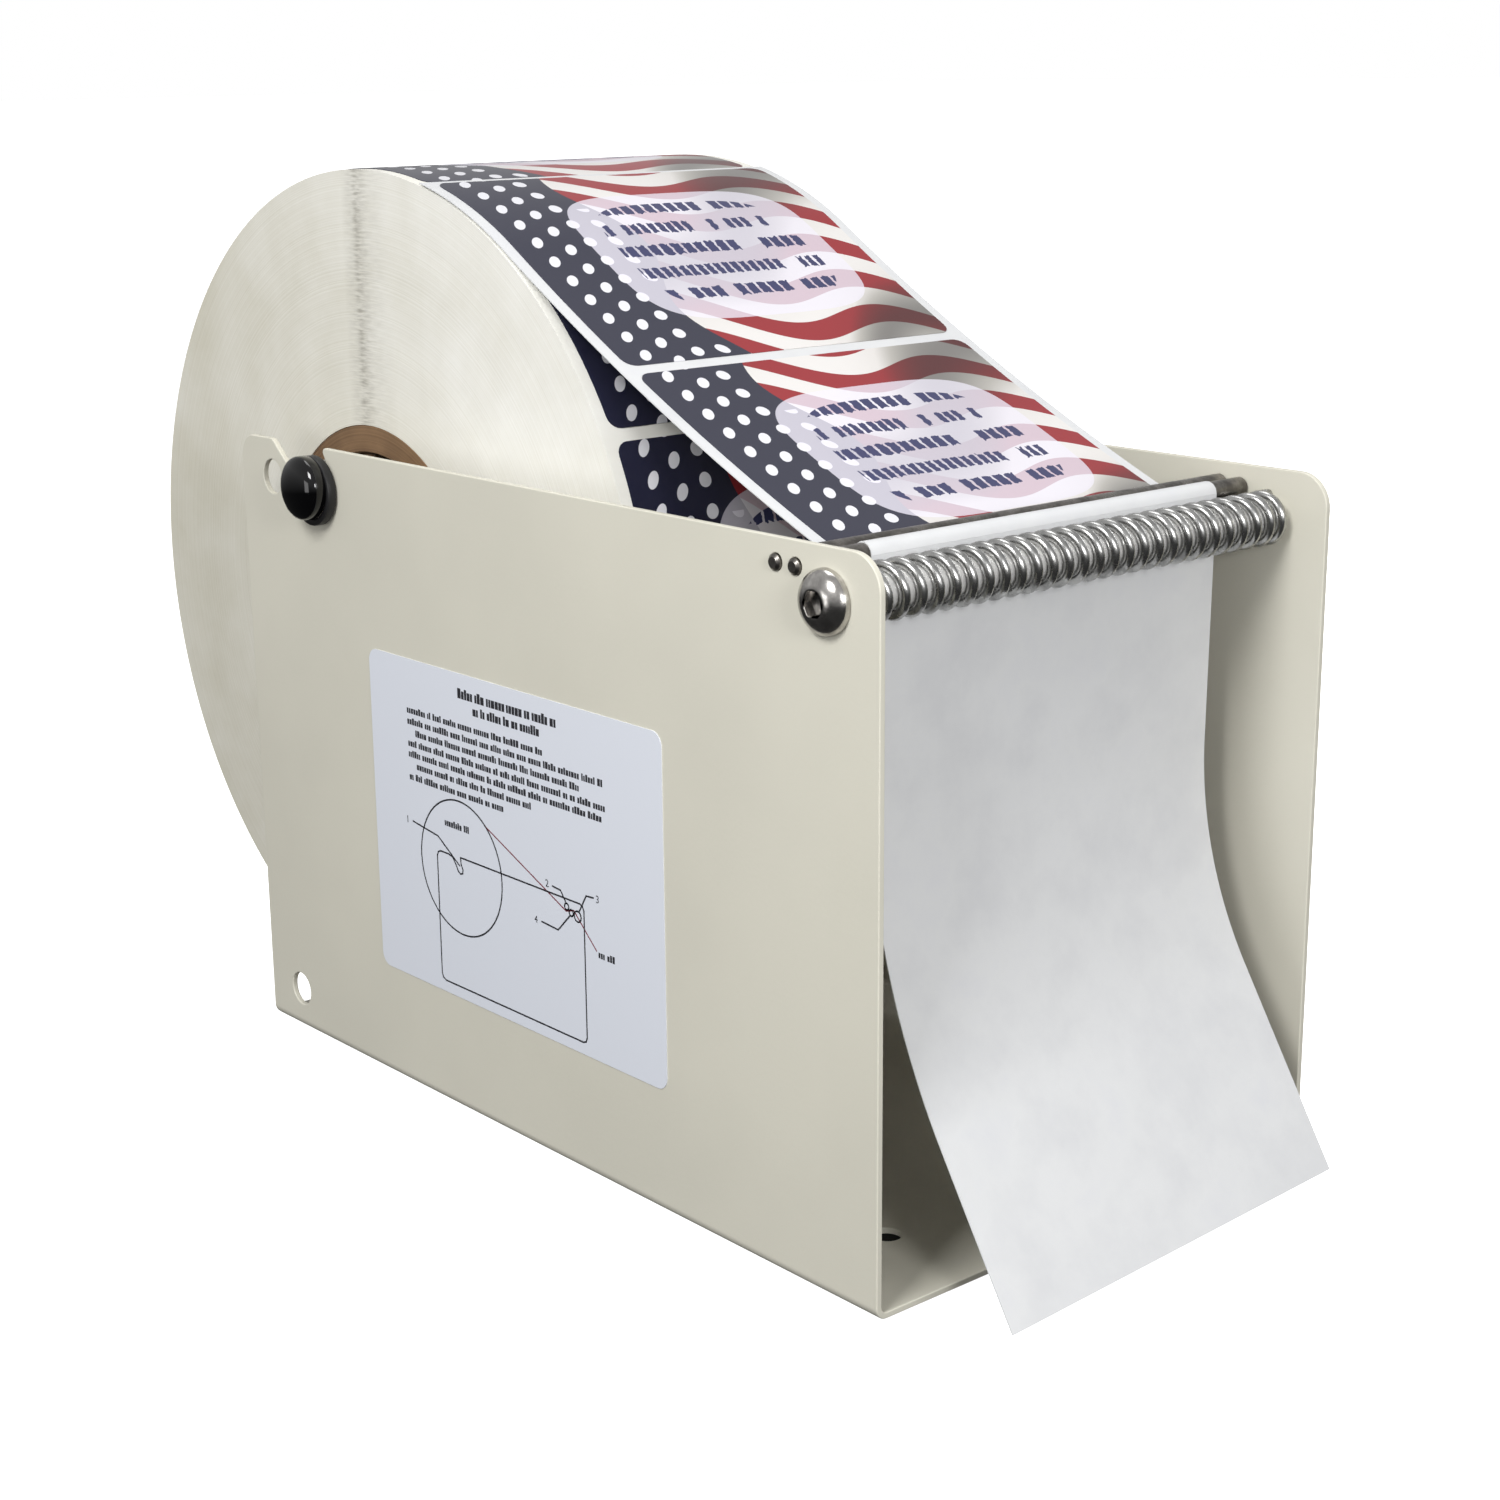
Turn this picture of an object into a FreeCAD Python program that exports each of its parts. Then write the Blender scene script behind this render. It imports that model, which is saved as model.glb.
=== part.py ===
"""Label dispenser: a bent steel channel that carries a roll of die-cut labels, two peel rods and a spring shaft.

X runs across the machine, Y to the rear and Z up. The origin is the centre of the base's bottom face.
"""

import FreeCAD, Part

import math
import os

import Sketcher

Vector = FreeCAD.Vector
os.makedirs("parts", exist_ok=True)
doc = FreeCAD.newDocument("label_dispenser")

# Driving dimensions in millimetres and degrees. A drop is measured down from the top edge of the side plates.
SIZES = [
    # bent sheet housing
    ("housing_width", 139.7),
    ("housing_length", 238.1),
    ("housing_height", 160.3),
    ("sheet_thickness", 1.5),
    ("bend_radius", 3.0),
    ("front_corner_radius", 7.9),
    ("rear_corner_radius", 6.0),
    ("side_hole_diameter", 8.8),
    ("side_hole_from_rear", 14.8),
    ("upper_side_hole_drop", 9.8),
    ("lower_side_hole_height", 11.5),
    ("base_hole_diameter", 6.5),
    ("base_hole_from_side", 28.2),
    ("base_hole_from_end", 26.1),
    # open slots that the core shaft drops into
    ("seat_from_side_hole", 22.3),
    ("seat_drop", 9.7),
    ("seat_clearance", 0.2),
    ("slot_front_angle", 57.0),
    ("slot_rear_angle", 40.0),
    ("mouth_corner_radius", 1.0),
    # sticker on the left plate
    ("sticker_length", 114.3),
    ("sticker_height", 82.55),
    ("sticker_thickness", 0.2),
    ("sticker_corner_radius", 3.2),
    ("sticker_from_front", 67.1),
    ("sticker_from_base", 30.2),
    # core shaft with a collar and a cap at each end
    ("shaft_diameter", 12.7),
    ("shaft_chamfer", 0.6),
    ("collar_wall", 1.9),
    ("collar_width", 2.5),
    ("collar_gap", 0.4),
    ("cap_wall", 1.55),
    ("cap_skirt", 2.3),
    ("cap_dome_height", 3.3),
    ("cap_bore_depth", 3.0),
    ("push_fit", 0.05),
    # roll, and its clearance over the base
    ("core_bore_diameter", 76.2),
    ("core_wall", 6.9),
    ("core_rest_gap", 0.2),
    ("roll_width", 108.0),
    ("roll_base_gap", 9.6),
    ("layer_gap", 0.02),
    # labels and liner
    ("label_side_margin", 3.2),
    ("label_length", 81.0),
    ("label_gap", 3.2),
    ("label_corner_radius", 3.2),
    ("label_thickness", 0.15),
    ("liner_thickness", 0.25),
    ("web_gap", 0.3),
    ("web_lap_angle", 18.3),
    ("web_sag_radius", 700.0),
    # two peel rods, with the web between them and the liner between the lower one and the spring
    ("rod_diameter", 4.76),
    ("rod_neck_diameter", 3.5),
    ("rod_neck_clearance", 0.05),
    ("rod_end_gap", 0.3),
    ("rod_stub", 1.0),
    ("rod_stub_chamfer", 0.6),
    ("top_rod_drop", 5.2),
    ("bottom_rod_drop", 5.3),
    ("rod_pass_gap", 0.3),
    ("liner_spring_gap", 0.3),
    # spring shaft and its screws
    ("support_diameter", 7.9),
    ("support_chamfer", 0.5),
    ("support_from_front", 14.9),
    ("support_drop", 11.0),
    ("screw_head_diameter", 13.6),
    ("screw_head_height", 4.0),
    ("screw_head_rim", 0.6),
    ("socket_flats", 5.0),
    ("socket_depth", 2.4),
    ("screw_diameter", 5.0),
    ("screw_length", 12.0),
    ("screw_hole_clearance", 0.25),
    ("thread_clearance", 0.05),
    ("thread_spare_depth", 1.5),
    # coil spring
    ("coil_clearance", 0.1),
    ("wire_diameter", 2.3),
    ("spring_end_gap", 0.3),
    # liner's free tail
    ("tail_bend_drop", 50.6),
    ("tail_bend_radius", 115.5),
    ("tail_bend_angle", 33.3),
    ("tail_end_height", 1.5),
    # past the solid at every cut
    ("overrun", 2.0),
]

# Dimensions that follow from them. A full roll just clears the base, the rods and the spring stand as close as the
# web and the liner between them allow, and rings and caps fit their shafts.
DERIVED = [
    ("roll_centre_drop", "seat_drop + (core_bore_diameter - shaft_diameter) / 2 - core_rest_gap"),
    ("roll_diameter", "2 * (housing_height - sheet_thickness - roll_base_gap - roll_centre_drop)"),
    ("upper_side_hole_height", "housing_height - upper_side_hole_drop"),
    ("seat_from_front", "housing_length - side_hole_from_rear - seat_from_side_hole"),
    ("seat_height", "housing_height - seat_drop"),
    ("roll_height", "housing_height - roll_centre_drop"),
    ("collar_diameter", "shaft_diameter + 2 * (push_fit + collar_wall)"),
    ("cap_diameter", "shaft_diameter + 2 * (push_fit + cap_wall)"),
    ("label_width", "roll_width - 2 * label_side_margin"),
    ("label_low", "liner_thickness / 2 + layer_gap"),
    ("label_high", "label_low + label_thickness"),
    ("roll_label_low", "roll_diameter / 2 + layer_gap"),
    ("roll_label_high", "roll_label_low + label_thickness"),
    ("web_radius", "roll_label_high + web_gap + liner_thickness / 2"),
    ("under_rod_radius", "rod_diameter / 2 + web_gap + label_high"),
    ("over_rod_radius", "rod_diameter / 2 + layer_gap + liner_thickness / 2"),
    ("spring_diameter", "support_diameter + 2 * (coil_clearance + wire_diameter)"),
    ("liner_from_front", "support_from_front + spring_diameter / 2 + liner_spring_gap + liner_thickness / 2"),
    ("bottom_rod_from_front", "liner_from_front + over_rod_radius"),
    ("top_rod_from_front", "bottom_rod_from_front + over_rod_radius + rod_pass_gap + under_rod_radius"),
    ("bottom_rod_height", "housing_height - bottom_rod_drop"),
    ("top_rod_height", "housing_height - top_rod_drop"),
    ("support_height", "housing_height - support_drop"),
    ("tail_bend_height", "bottom_rod_height - tail_bend_drop"),
]

SPRING_TURNS = 29
WIRE_SIDES = 8
SOCKET_SIDES = 6

sheet = doc.addObject("Spreadsheet::Sheet", "sizes")
cells = [(alias, str(value)) for alias, value in SIZES] + [(alias, f"={formula}") for alias, formula in DERIVED]
for row, (alias, content) in enumerate(cells, start=1):
    sheet.set(f"A{row}", alias)
    sheet.set(f"B{row}", content)
    sheet.setAlias(f"B{row}", alias)
    doc.recompute()


def number(expression):
    """What an expression of sheet values comes to."""
    return float(sheet.evalExpression(expression))


# Sketches and features

def new_body(label):
    """An empty body, named for its piece."""
    body = doc.addObject("PartDesign::Body", label)
    body.Label = label
    return body


def new_sketch(body, name, role):
    """A sketch on one of the body's own origin planes."""
    plane = [item for item in body.Origin.OriginFeatures if item.Role == role][0]
    sketch = body.newObject("Sketcher::SketchObject", name)
    sketch.AttachmentSupport = [(plane, "")]
    sketch.MapMode = "FlatFace"
    return sketch


def bind(sketch, kind, places, expression):
    """A constraint whose value follows an expression."""
    index = sketch.addConstraint(Sketcher.Constraint(kind, *places, number(expression)))
    sketch.setExpression(f"Constraints[{index}]", expression)


def pin_point(sketch, geometry, point, across, up):
    """Holds a point of the sketch at two expressions."""
    bind(sketch, "DistanceX", (-1, 1, geometry, point), across)
    bind(sketch, "DistanceY", (-1, 1, geometry, point), up)


def add_polygon(sketch, corners):
    """A closed outline of straight lines through corners given as pairs of expressions."""
    places = [Vector(number(across), number(up), 0) for across, up in corners]
    first = sketch.GeometryCount
    for place, following in zip(places, places[1:] + places[:1]):
        sketch.addGeometry(Part.LineSegment(place, following))
    for step, (across, up) in enumerate(corners):
        before = first + (step - 1) % len(corners)
        sketch.addConstraint(Sketcher.Constraint("Coincident", before, 2, first + step, 1))
        pin_point(sketch, first + step, 1, across, up)


def add_circle(sketch, across, up, diameter):
    """A circle held at its centre."""
    centre = Vector(number(across), number(up), 0)
    circle = Part.Circle(centre, Vector(0, 0, 1), number(diameter) / 2)
    geometry = sketch.addGeometry(circle)
    pin_point(sketch, geometry, 3, across, up)
    bind(sketch, "Diameter", (geometry,), diameter)


def add_pad(body, name, sketch, length, midplane=False, reverse=False):
    """A pad whose length follows an expression."""
    pad = body.newObject("PartDesign::Pad", name)
    pad.Profile = sketch
    pad.Midplane = midplane
    pad.Reversed = reverse
    pad.setExpression("Length", length)
    doc.recompute()


def add_pocket(body, name, sketch, length, midplane=False):
    """A pocket that must take something away."""
    before = body.Shape.Volume
    pocket = body.newObject("PartDesign::Pocket", name)
    pocket.Profile = sketch
    pocket.Midplane = midplane
    pocket.setExpression("Length", length)
    doc.recompute()
    if not body.Shape.Volume < before:
        raise RuntimeError(f"{name} cuts nothing")


def add_revolution(body, name, sketch):
    """A full turn of the sketch about its horizontal axis."""
    turned = body.newObject("PartDesign::Revolution", name)
    turned.Profile = sketch
    turned.ReferenceAxis = (sketch, ["H_Axis"])
    turned.Angle = 360
    doc.recompute()


def edges_where(body, wanted):
    """Names of the tip's edges whose two ends both pass a test."""
    names = []
    for index, edge in enumerate(body.Tip.Shape.Edges, start=1):
        ends = [vertex.Point for vertex in edge.Vertexes]
        if len(ends) > 1 and all(wanted(point) for point in ends):
            names.append(f"Edge{index}")
    return names


def add_dress(body, kind, name, edges, size_name, expression):
    """A fillet or chamfer on named edges of the tip."""
    if not edges:
        raise RuntimeError(f"{name} found no edge")
    base = body.Tip
    dress = body.newObject(f"PartDesign::{kind}", name)
    dress.Base = (base, edges)
    dress.setExpression(size_name, expression)
    doc.recompute()


def near(first, second):
    """Whether two lengths are the same to a small share of the sheet's thickness."""
    tolerance_share = 0.01
    return abs(first - second) < tolerance_share * sheet.sheet_thickness


def place(body, across, along, up, turn=0):
    """Puts a body at three expressions, turned about the upright axis."""
    body.Placement = FreeCAD.Placement(Vector(0, 0, 0), FreeCAD.Rotation(Vector(0, 0, 1), turn))
    body.setExpression(".Placement.Base.x", across)
    body.setExpression(".Placement.Base.y", along)
    body.setExpression(".Placement.Base.z", up)
    doc.recompute()


def add_solid(label, shape, spot=Vector(0, 0, 0)):
    """A piece that is wound or bent along a path, set from a computed shape."""
    piece = doc.addObject("Part::Feature", label)
    piece.Label = label
    piece.Shape = shape
    piece.Placement = FreeCAD.Placement(spot, FreeCAD.Rotation())


SIDES = (("left", -1), ("right", 1))
HALF_WIDTH = "sizes.housing_width / 2"
HALF_LENGTH = "sizes.housing_length / 2"
SEAT_Y = f"sizes.seat_from_front - {HALF_LENGTH}"
SUPPORT_Y = f"sizes.support_from_front - {HALF_LENGTH}"
TOP_ROD_Y = f"sizes.top_rod_from_front - {HALF_LENGTH}"
BOTTOM_ROD_Y = f"sizes.bottom_rod_from_front - {HALF_LENGTH}"
THROUGH_BOTH_PLATES = "sizes.housing_width + 2 * sizes.overrun"
INNER_HALF_WIDTH = f"{HALF_WIDTH} - sizes.sheet_thickness"


# Housing: one sheet bent to a channel

def add_slot_outline(sketch):
    """The open slot: a round seat whose two tangent edges lean back by different angles."""
    angles = (sheet.slot_front_angle, sheet.slot_rear_angle)
    front, rear = (math.radians(angle) for angle in angles)
    radius = sheet.shaft_diameter / 2 + sheet.seat_clearance
    seat = Vector(number(SEAT_Y), sheet.seat_height, 0)
    top = sheet.housing_height + sheet.overrun
    front_foot = seat + Vector(-math.sin(front), math.cos(front), 0) * radius
    rear_foot = seat + Vector(math.sin(rear), -math.cos(rear), 0) * radius
    front_top = Vector(front_foot.x + (top - front_foot.y) / math.tan(front), top, 0)
    rear_top = Vector(rear_foot.x + (top - rear_foot.y) / math.tan(rear), top, 0)
    circle = Part.Circle(seat, Vector(0, 0, 1), radius)
    arc = sketch.addGeometry(Part.ArcOfCircle(circle, math.pi / 2 + front, math.pi * 3 / 2 + rear))
    rear_edge = sketch.addGeometry(Part.LineSegment(rear_foot, rear_top))
    lid = sketch.addGeometry(Part.LineSegment(rear_top, front_top))
    front_edge = sketch.addGeometry(Part.LineSegment(front_top, front_foot))
    sketch.addConstraint(Sketcher.Constraint("Tangent", arc, 2, rear_edge, 1))
    sketch.addConstraint(Sketcher.Constraint("Coincident", rear_edge, 2, lid, 1))
    sketch.addConstraint(Sketcher.Constraint("Coincident", lid, 2, front_edge, 1))
    sketch.addConstraint(Sketcher.Constraint("Tangent", front_edge, 2, arc, 1))
    sketch.addConstraint(Sketcher.Constraint("Horizontal", lid))
    pin_point(sketch, arc, 3, SEAT_Y, "sizes.seat_height")
    bind(sketch, "Radius", (arc,), "sizes.shaft_diameter / 2 + sizes.seat_clearance")
    bind(sketch, "DistanceY", (-1, 1, lid, 1), "sizes.housing_height + sizes.overrun")
    bind(sketch, "Angle", (-1, 1, rear_edge, 1), "sizes.slot_rear_angle * 1 deg")
    bind(sketch, "Angle", (-1, 1, front_edge, 2), "sizes.slot_front_angle * 1 deg")


def make_housing():
    body = new_body("housing")
    section = new_sketch(body, "channel_section", "XZ_Plane")
    outer, inner = HALF_WIDTH, INNER_HALF_WIDTH
    add_polygon(section, [
        (f"-({outer})", "sizes.housing_height"),
        (f"-({outer})", "0"),
        (outer, "0"),
        (outer, "sizes.housing_height"),
        (inner, "sizes.housing_height"),
        (inner, "sizes.sheet_thickness"),
        (f"-({inner})", "sizes.sheet_thickness"),
        (f"-({inner})", "sizes.housing_height"),
    ])
    add_pad(body, "channel", section, "sizes.housing_length", midplane=True)

    half_width, wall = number(outer), sheet.sheet_thickness
    add_long_fillet(body, "outer_bends", abs_x=half_width, height=0, radius="sizes.bend_radius")
    inner_radius = "sizes.bend_radius - sizes.sheet_thickness"
    add_long_fillet(body, "inner_bends", abs_x=half_width - wall, height=wall, radius=inner_radius)
    half_length, top = number(HALF_LENGTH), sheet.housing_height
    front = edges_where(body, lambda p: near(p.y, -half_length) and near(p.z, top))
    add_dress(body, "Fillet", "front_corners", front, "Radius", "sizes.front_corner_radius")
    rear = edges_where(body, lambda p: near(p.y, half_length) and near(p.z, top))
    add_dress(body, "Fillet", "rear_corners", rear, "Radius", "sizes.rear_corner_radius")

    slot = new_sketch(body, "slot_outline", "YZ_Plane")
    add_slot_outline(slot)
    add_pocket(body, "shaft_slots", slot, THROUGH_BOTH_PLATES, midplane=True)

    corner_inset = sheet.front_corner_radius + sheet.overrun
    mouth = edges_where(body, lambda p: near(p.z, top) and p.y > corner_inset - half_length)
    rear_flat = half_length - sheet.rear_corner_radius
    mouth = [name for name in mouth if crosses_sheet(body, name) and not near(end_y(body, name), rear_flat)]
    add_dress(body, "Fillet", "mouth_corners", mouth, "Radius", "sizes.mouth_corner_radius")

    holes = new_sketch(body, "plate_holes", "YZ_Plane")
    rear_row = f"{HALF_LENGTH} - sizes.side_hole_from_rear"
    rod_hole = "sizes.rod_neck_diameter + 2 * sizes.rod_neck_clearance"
    screw_hole = "sizes.screw_diameter + 2 * sizes.screw_hole_clearance"
    add_circle(holes, rear_row, "sizes.upper_side_hole_height", "sizes.side_hole_diameter")
    add_circle(holes, rear_row, "sizes.lower_side_hole_height", "sizes.side_hole_diameter")
    add_circle(holes, TOP_ROD_Y, "sizes.top_rod_height", rod_hole)
    add_circle(holes, BOTTOM_ROD_Y, "sizes.bottom_rod_height", rod_hole)
    add_circle(holes, SUPPORT_Y, "sizes.support_height", screw_hole)
    add_pocket(body, "plate_hole_cut", holes, THROUGH_BOTH_PLATES, midplane=True)

    base_holes = new_sketch(body, "base_holes", "XY_Plane")
    for side in ("", "-"):
        for end in ("", "-"):
            across = f"{side}({HALF_WIDTH} - sizes.base_hole_from_side)"
            along = f"{end}({HALF_LENGTH} - sizes.base_hole_from_end)"
            add_circle(base_holes, across, along, "sizes.base_hole_diameter")
    base_depth = "2 * (sizes.sheet_thickness + sizes.overrun)"
    add_pocket(body, "base_hole_cut", base_holes, base_depth, midplane=True)


def add_long_fillet(body, name, abs_x, height, radius):
    """Rounds the two long bends at one distance from the middle and one height."""
    names = edges_where(body, lambda p: near(abs(p.x), abs_x) and near(p.z, height))
    long_edges = [item for item in names if not crosses_width(body, item)]
    add_dress(body, "Fillet", name, long_edges, "Radius", radius)


def ends_of(body, name):
    return [vertex.Point for vertex in body.Tip.Shape.getElement(name).Vertexes]


def crosses_width(body, name):
    """Whether an edge runs from one plate to the other."""
    first, second = ends_of(body, name)
    return not near(first.x, second.x)


def crosses_sheet(body, name):
    """Whether an edge runs straight through the sheet."""
    first, second = ends_of(body, name)
    return near(abs(first.x - second.x), sheet.sheet_thickness) and near(first.y, second.y)


def end_y(body, name):
    return ends_of(body, name)[0].y


def make_sticker():
    """A thin film on the outer face of the left plate, with round corners."""
    body = new_body("instruction_label")
    outline = new_sketch(body, "sticker_outline", "YZ_Plane")
    low_y = f"sizes.sticker_from_front - {HALF_LENGTH}"
    high_y = f"{low_y} + sizes.sticker_length"
    low_z = "sizes.sticker_from_base"
    high_z = "sizes.sticker_from_base + sizes.sticker_height"
    add_polygon(outline, [(low_y, low_z), (high_y, low_z), (high_y, high_z), (low_y, high_z)])
    add_pad(body, "sticker_film", outline, "sizes.sticker_thickness", reverse=True)
    corners = [name for name in edges_where(body, lambda p: True) if not near_ends_x(body, name)]
    add_dress(body, "Fillet", "sticker_corners", corners, "Radius", "sizes.sticker_corner_radius")
    place(body, f"-({HALF_WIDTH})", "0", "0")


def near_ends_x(body, name):
    first, second = ends_of(body, name)
    return abs(first.x - second.x) < sheet.sticker_thickness / 2


# Core shaft, collars and caps

def make_core_shaft():
    body = new_body("core_support_shaft")
    outline = new_sketch(body, "shaft_section", "YZ_Plane")
    add_circle(outline, "0", "0", "sizes.shaft_diameter")
    end = f"{HALF_WIDTH} + sizes.collar_gap + sizes.collar_width + sizes.cap_bore_depth - sizes.push_fit"
    add_pad(body, "shaft_bar", outline, f"2 * ({end})", midplane=True)
    ends = [f"Edge{index}" for index, edge in enumerate(body.Tip.Shape.Edges, start=1) if len(edge.Vertexes) == 1]
    add_dress(body, "Chamfer", "shaft_ends", ends, "Size", "sizes.shaft_chamfer")
    place(body, "0", SEAT_Y, "sizes.seat_height")


def place_at_side(body, side, along, up):
    """Puts a body on a plate's outer face, with its own X pointing away from the machine."""
    across = HALF_WIDTH if side > 0 else f"-({HALF_WIDTH})"
    place(body, across, along, up, turn=0 if side > 0 else 180)


def make_collar(label, side):
    """A plain ring just outside a plate."""
    body = new_body(label)
    section = new_sketch(body, "collar_section", "XZ_Plane")
    bore, rim = "sizes.shaft_diameter / 2 + sizes.push_fit", "sizes.collar_diameter / 2"
    near_face = "sizes.collar_gap"
    far_face = "sizes.collar_gap + sizes.collar_width"
    add_polygon(section, [(near_face, bore), (far_face, bore), (far_face, rim), (near_face, rim)])
    add_revolution(body, "collar_ring", section)
    place_at_side(body, side, SEAT_Y, "sizes.seat_height")


def circles_of(body, radius):
    """Names of the tip's full circles of one radius about the body's own X axis."""
    names = []
    for index, edge in enumerate(body.Tip.Shape.Edges, start=1):
        if edge.Degenerated or not isinstance(edge.Curve, Part.Circle):
            continue
        if near(edge.Curve.Radius, radius):
            names.append(f"Edge{index}")
    return names


# a low dome as shares of its height and of its rim's radius
DOME_SHARES = ((0.0, 1.0), (0.6, 0.85), (1.0, 0.45))


def make_cap(label, side):
    """A push-on cap: a skirt over the shaft's end under a low dome."""
    body = new_body(label)
    section = new_sketch(body, "cap_section", "XZ_Plane")
    foot = "sizes.collar_gap + sizes.collar_width"
    floor = f"{foot} + sizes.cap_bore_depth"
    skirt = f"{foot} + sizes.cap_skirt"
    bore, rim = "sizes.shaft_diameter / 2 + sizes.push_fit", "sizes.cap_diameter / 2"
    dome = [(f"{skirt} + {rise} * sizes.cap_dome_height", f"{reach} * {rim}") for rise, reach in DOME_SHARES]
    crown = (f"{skirt} + sizes.cap_dome_height", "0")
    add_polygon(section, [(floor, "0"), (floor, bore), (foot, bore), (foot, rim)] + dome + [crown])
    add_revolution(body, "cap_shell", section)
    place_at_side(body, side, SEAT_Y, "sizes.seat_height")


# Roll: it hangs by its core on the shaft

def make_tube(label, bore, outside, width):
    """A plain tube across the machine, about the roll's axis."""
    body = new_body(label)
    section = new_sketch(body, "tube_section", "YZ_Plane")
    add_circle(section, "0", "0", outside)
    add_circle(section, "0", "0", bore)
    add_pad(body, "tube", section, width, midplane=True)
    place(body, "0", SEAT_Y, "sizes.roll_height")


# Path of the web, as lines and arcs in the side view. A point is a Vector (0, y, z). An offset is to the right
# of the direction of travel, which is the side that the labels are on.

def polar(centre, radius, angle):
    """A point of the side view at an angle counted from the rear towards the top."""
    return centre + Vector(0, math.cos(angle), math.sin(angle)) * radius


def angle_of(centre, point):
    return math.atan2(point.z - centre.z, point.y - centre.y)


def arc_piece(centre, radius, start, finish):
    """A stretch of path round a centre; it turns left where the angle grows and right where it falls."""
    return {"centre": centre, "radius": radius, "start": start, "finish": finish}


def line_piece(start, finish):
    return {"from": start, "to": finish}


def length_of(piece):
    if "centre" in piece:
        return piece["radius"] * abs(piece["finish"] - piece["start"])
    return (piece["to"] - piece["from"]).Length


def share_of(piece, low, high):
    """The stretch of a piece between two shares of its length."""
    if "centre" in piece:
        turn = piece["finish"] - piece["start"]
        start, finish = piece["start"] + turn * low, piece["start"] + turn * high
        return arc_piece(piece["centre"], piece["radius"], start, finish)
    run = piece["to"] - piece["from"]
    return line_piece(piece["from"] + run * low, piece["from"] + run * high)


def cut_path(path, low, high):
    """The stretch of a path between two distances from its start."""
    result, travelled = [], 0
    for piece in path:
        length = length_of(piece)
        first, last = max(low - travelled, 0), min(high - travelled, length)
        if first < last:
            result.append(share_of(piece, first / length, last / length))
        travelled += length
    return result


def offset_edge(piece, offset):
    """The edge that runs beside a piece of path."""
    if "centre" in piece:
        turns_left = piece["finish"] > piece["start"]
        radius = piece["radius"] + (offset if turns_left else -offset)
        middle = (piece["start"] + piece["finish"]) / 2
        points = [polar(piece["centre"], radius, angle) for angle in (piece["start"], middle, piece["finish"])]
        return Part.Arc(*points).toShape()
    run = (piece["to"] - piece["from"]).normalize()
    side = Vector(0, run.z, -run.y) * offset
    return Part.LineSegment(piece["from"] + side, piece["to"] + side).toShape()


def section_wire(path, low, high, across):
    """A strip's closed section between two offsets, in the plane at one place across the machine."""
    near_edges = [offset_edge(piece, low) for piece in path]
    far_edges = [offset_edge(piece, high) for piece in path]
    starts = [near_edges[0].valueAt(near_edges[0].FirstParameter), far_edges[0].valueAt(far_edges[0].FirstParameter)]
    ends = [near_edges[-1].valueAt(near_edges[-1].LastParameter), far_edges[-1].valueAt(far_edges[-1].LastParameter)]
    closing = [Part.LineSegment(*starts).toShape(), Part.LineSegment(*ends).toShape()]
    wire = Part.Wire(Part.__sortEdges__(near_edges + far_edges + closing))
    wire.translate(Vector(across, 0, 0))
    return wire


def strip(path, low, high, width):
    """A strip as wide as given, centred on the machine, between two offsets from the path."""
    face = Part.Face(section_wire(path, low, high, -width / 2))
    return face.extrude(Vector(width, 0, 0))


def round_corners(solid, ends):
    """Rounds a label's corners at the ends given as points of the side view."""
    reach = sheet.label_thickness + sheet.layer_gap
    half_width = sheet.label_width / 2
    corners = []
    for edge in solid.Edges:
        middle = edge.CenterOfMass
        at_side = near(abs(middle.x), half_width)
        in_view = Vector(0, middle.y, middle.z)
        if at_side and edge.Length < reach and any((in_view - end).Length < reach for end in ends):
            corners.append(edge)
    return solid.makeFillet(sheet.label_corner_radius, corners)


def crossing_above(first, first_radius, second, second_radius):
    """The upper of the two points at given distances from two centres in the side view."""
    apart = second - first
    distance = apart.Length
    along = (distance**2 + first_radius**2 - second_radius**2) / (2 * distance)
    rise = math.sqrt(first_radius**2 - along**2)
    direction = apart.normalize()
    across = Vector(0, -direction.z, direction.y)
    options = [first + direction * along + across * rise, first + direction * along - across * rise]
    return max(options, key=lambda point: point.z)


roll_centre = Vector(0, number(SEAT_Y), sheet.roll_height)
top_rod = Vector(0, number(TOP_ROD_Y), sheet.top_rod_height)
bottom_rod = Vector(0, number(BOTTOM_ROD_Y), sheet.bottom_rod_height)


def web_path():
    """From the top of the roll, sagging to the upper rod, under it, and up over the lower rod to its front."""
    sag, web_radius = sheet.web_sag_radius, sheet.web_radius
    under_radius, over_radius = sheet.under_rod_radius, sheet.over_rod_radius
    sag_centre = crossing_above(roll_centre, sag + web_radius, top_rod, sag - under_radius)
    leave = angle_of(roll_centre, sag_centre)
    arrive = angle_of(sag_centre, top_rod) + 2 * math.pi
    start = leave - math.radians(sheet.web_lap_angle)
    on_roll = arc_piece(roll_centre, web_radius, start, leave)
    hanging = arc_piece(sag_centre, sag, leave + math.pi, arrive)
    between = bottom_rod - top_rod
    crossing = math.acos((under_radius + over_radius) / between.Length)
    facing = angle_of(top_rod, bottom_rod) % (2 * math.pi)
    under = arc_piece(top_rod, under_radius, arrive, facing + crossing)
    rear_of_rod = facing + crossing - math.pi
    over = arc_piece(bottom_rod, over_radius, rear_of_rod, math.pi)
    leap = line_piece(polar(top_rod, under_radius, under["finish"]), polar(bottom_rod, over_radius, over["start"]))
    return [on_roll, hanging, under, leap, over]


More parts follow.
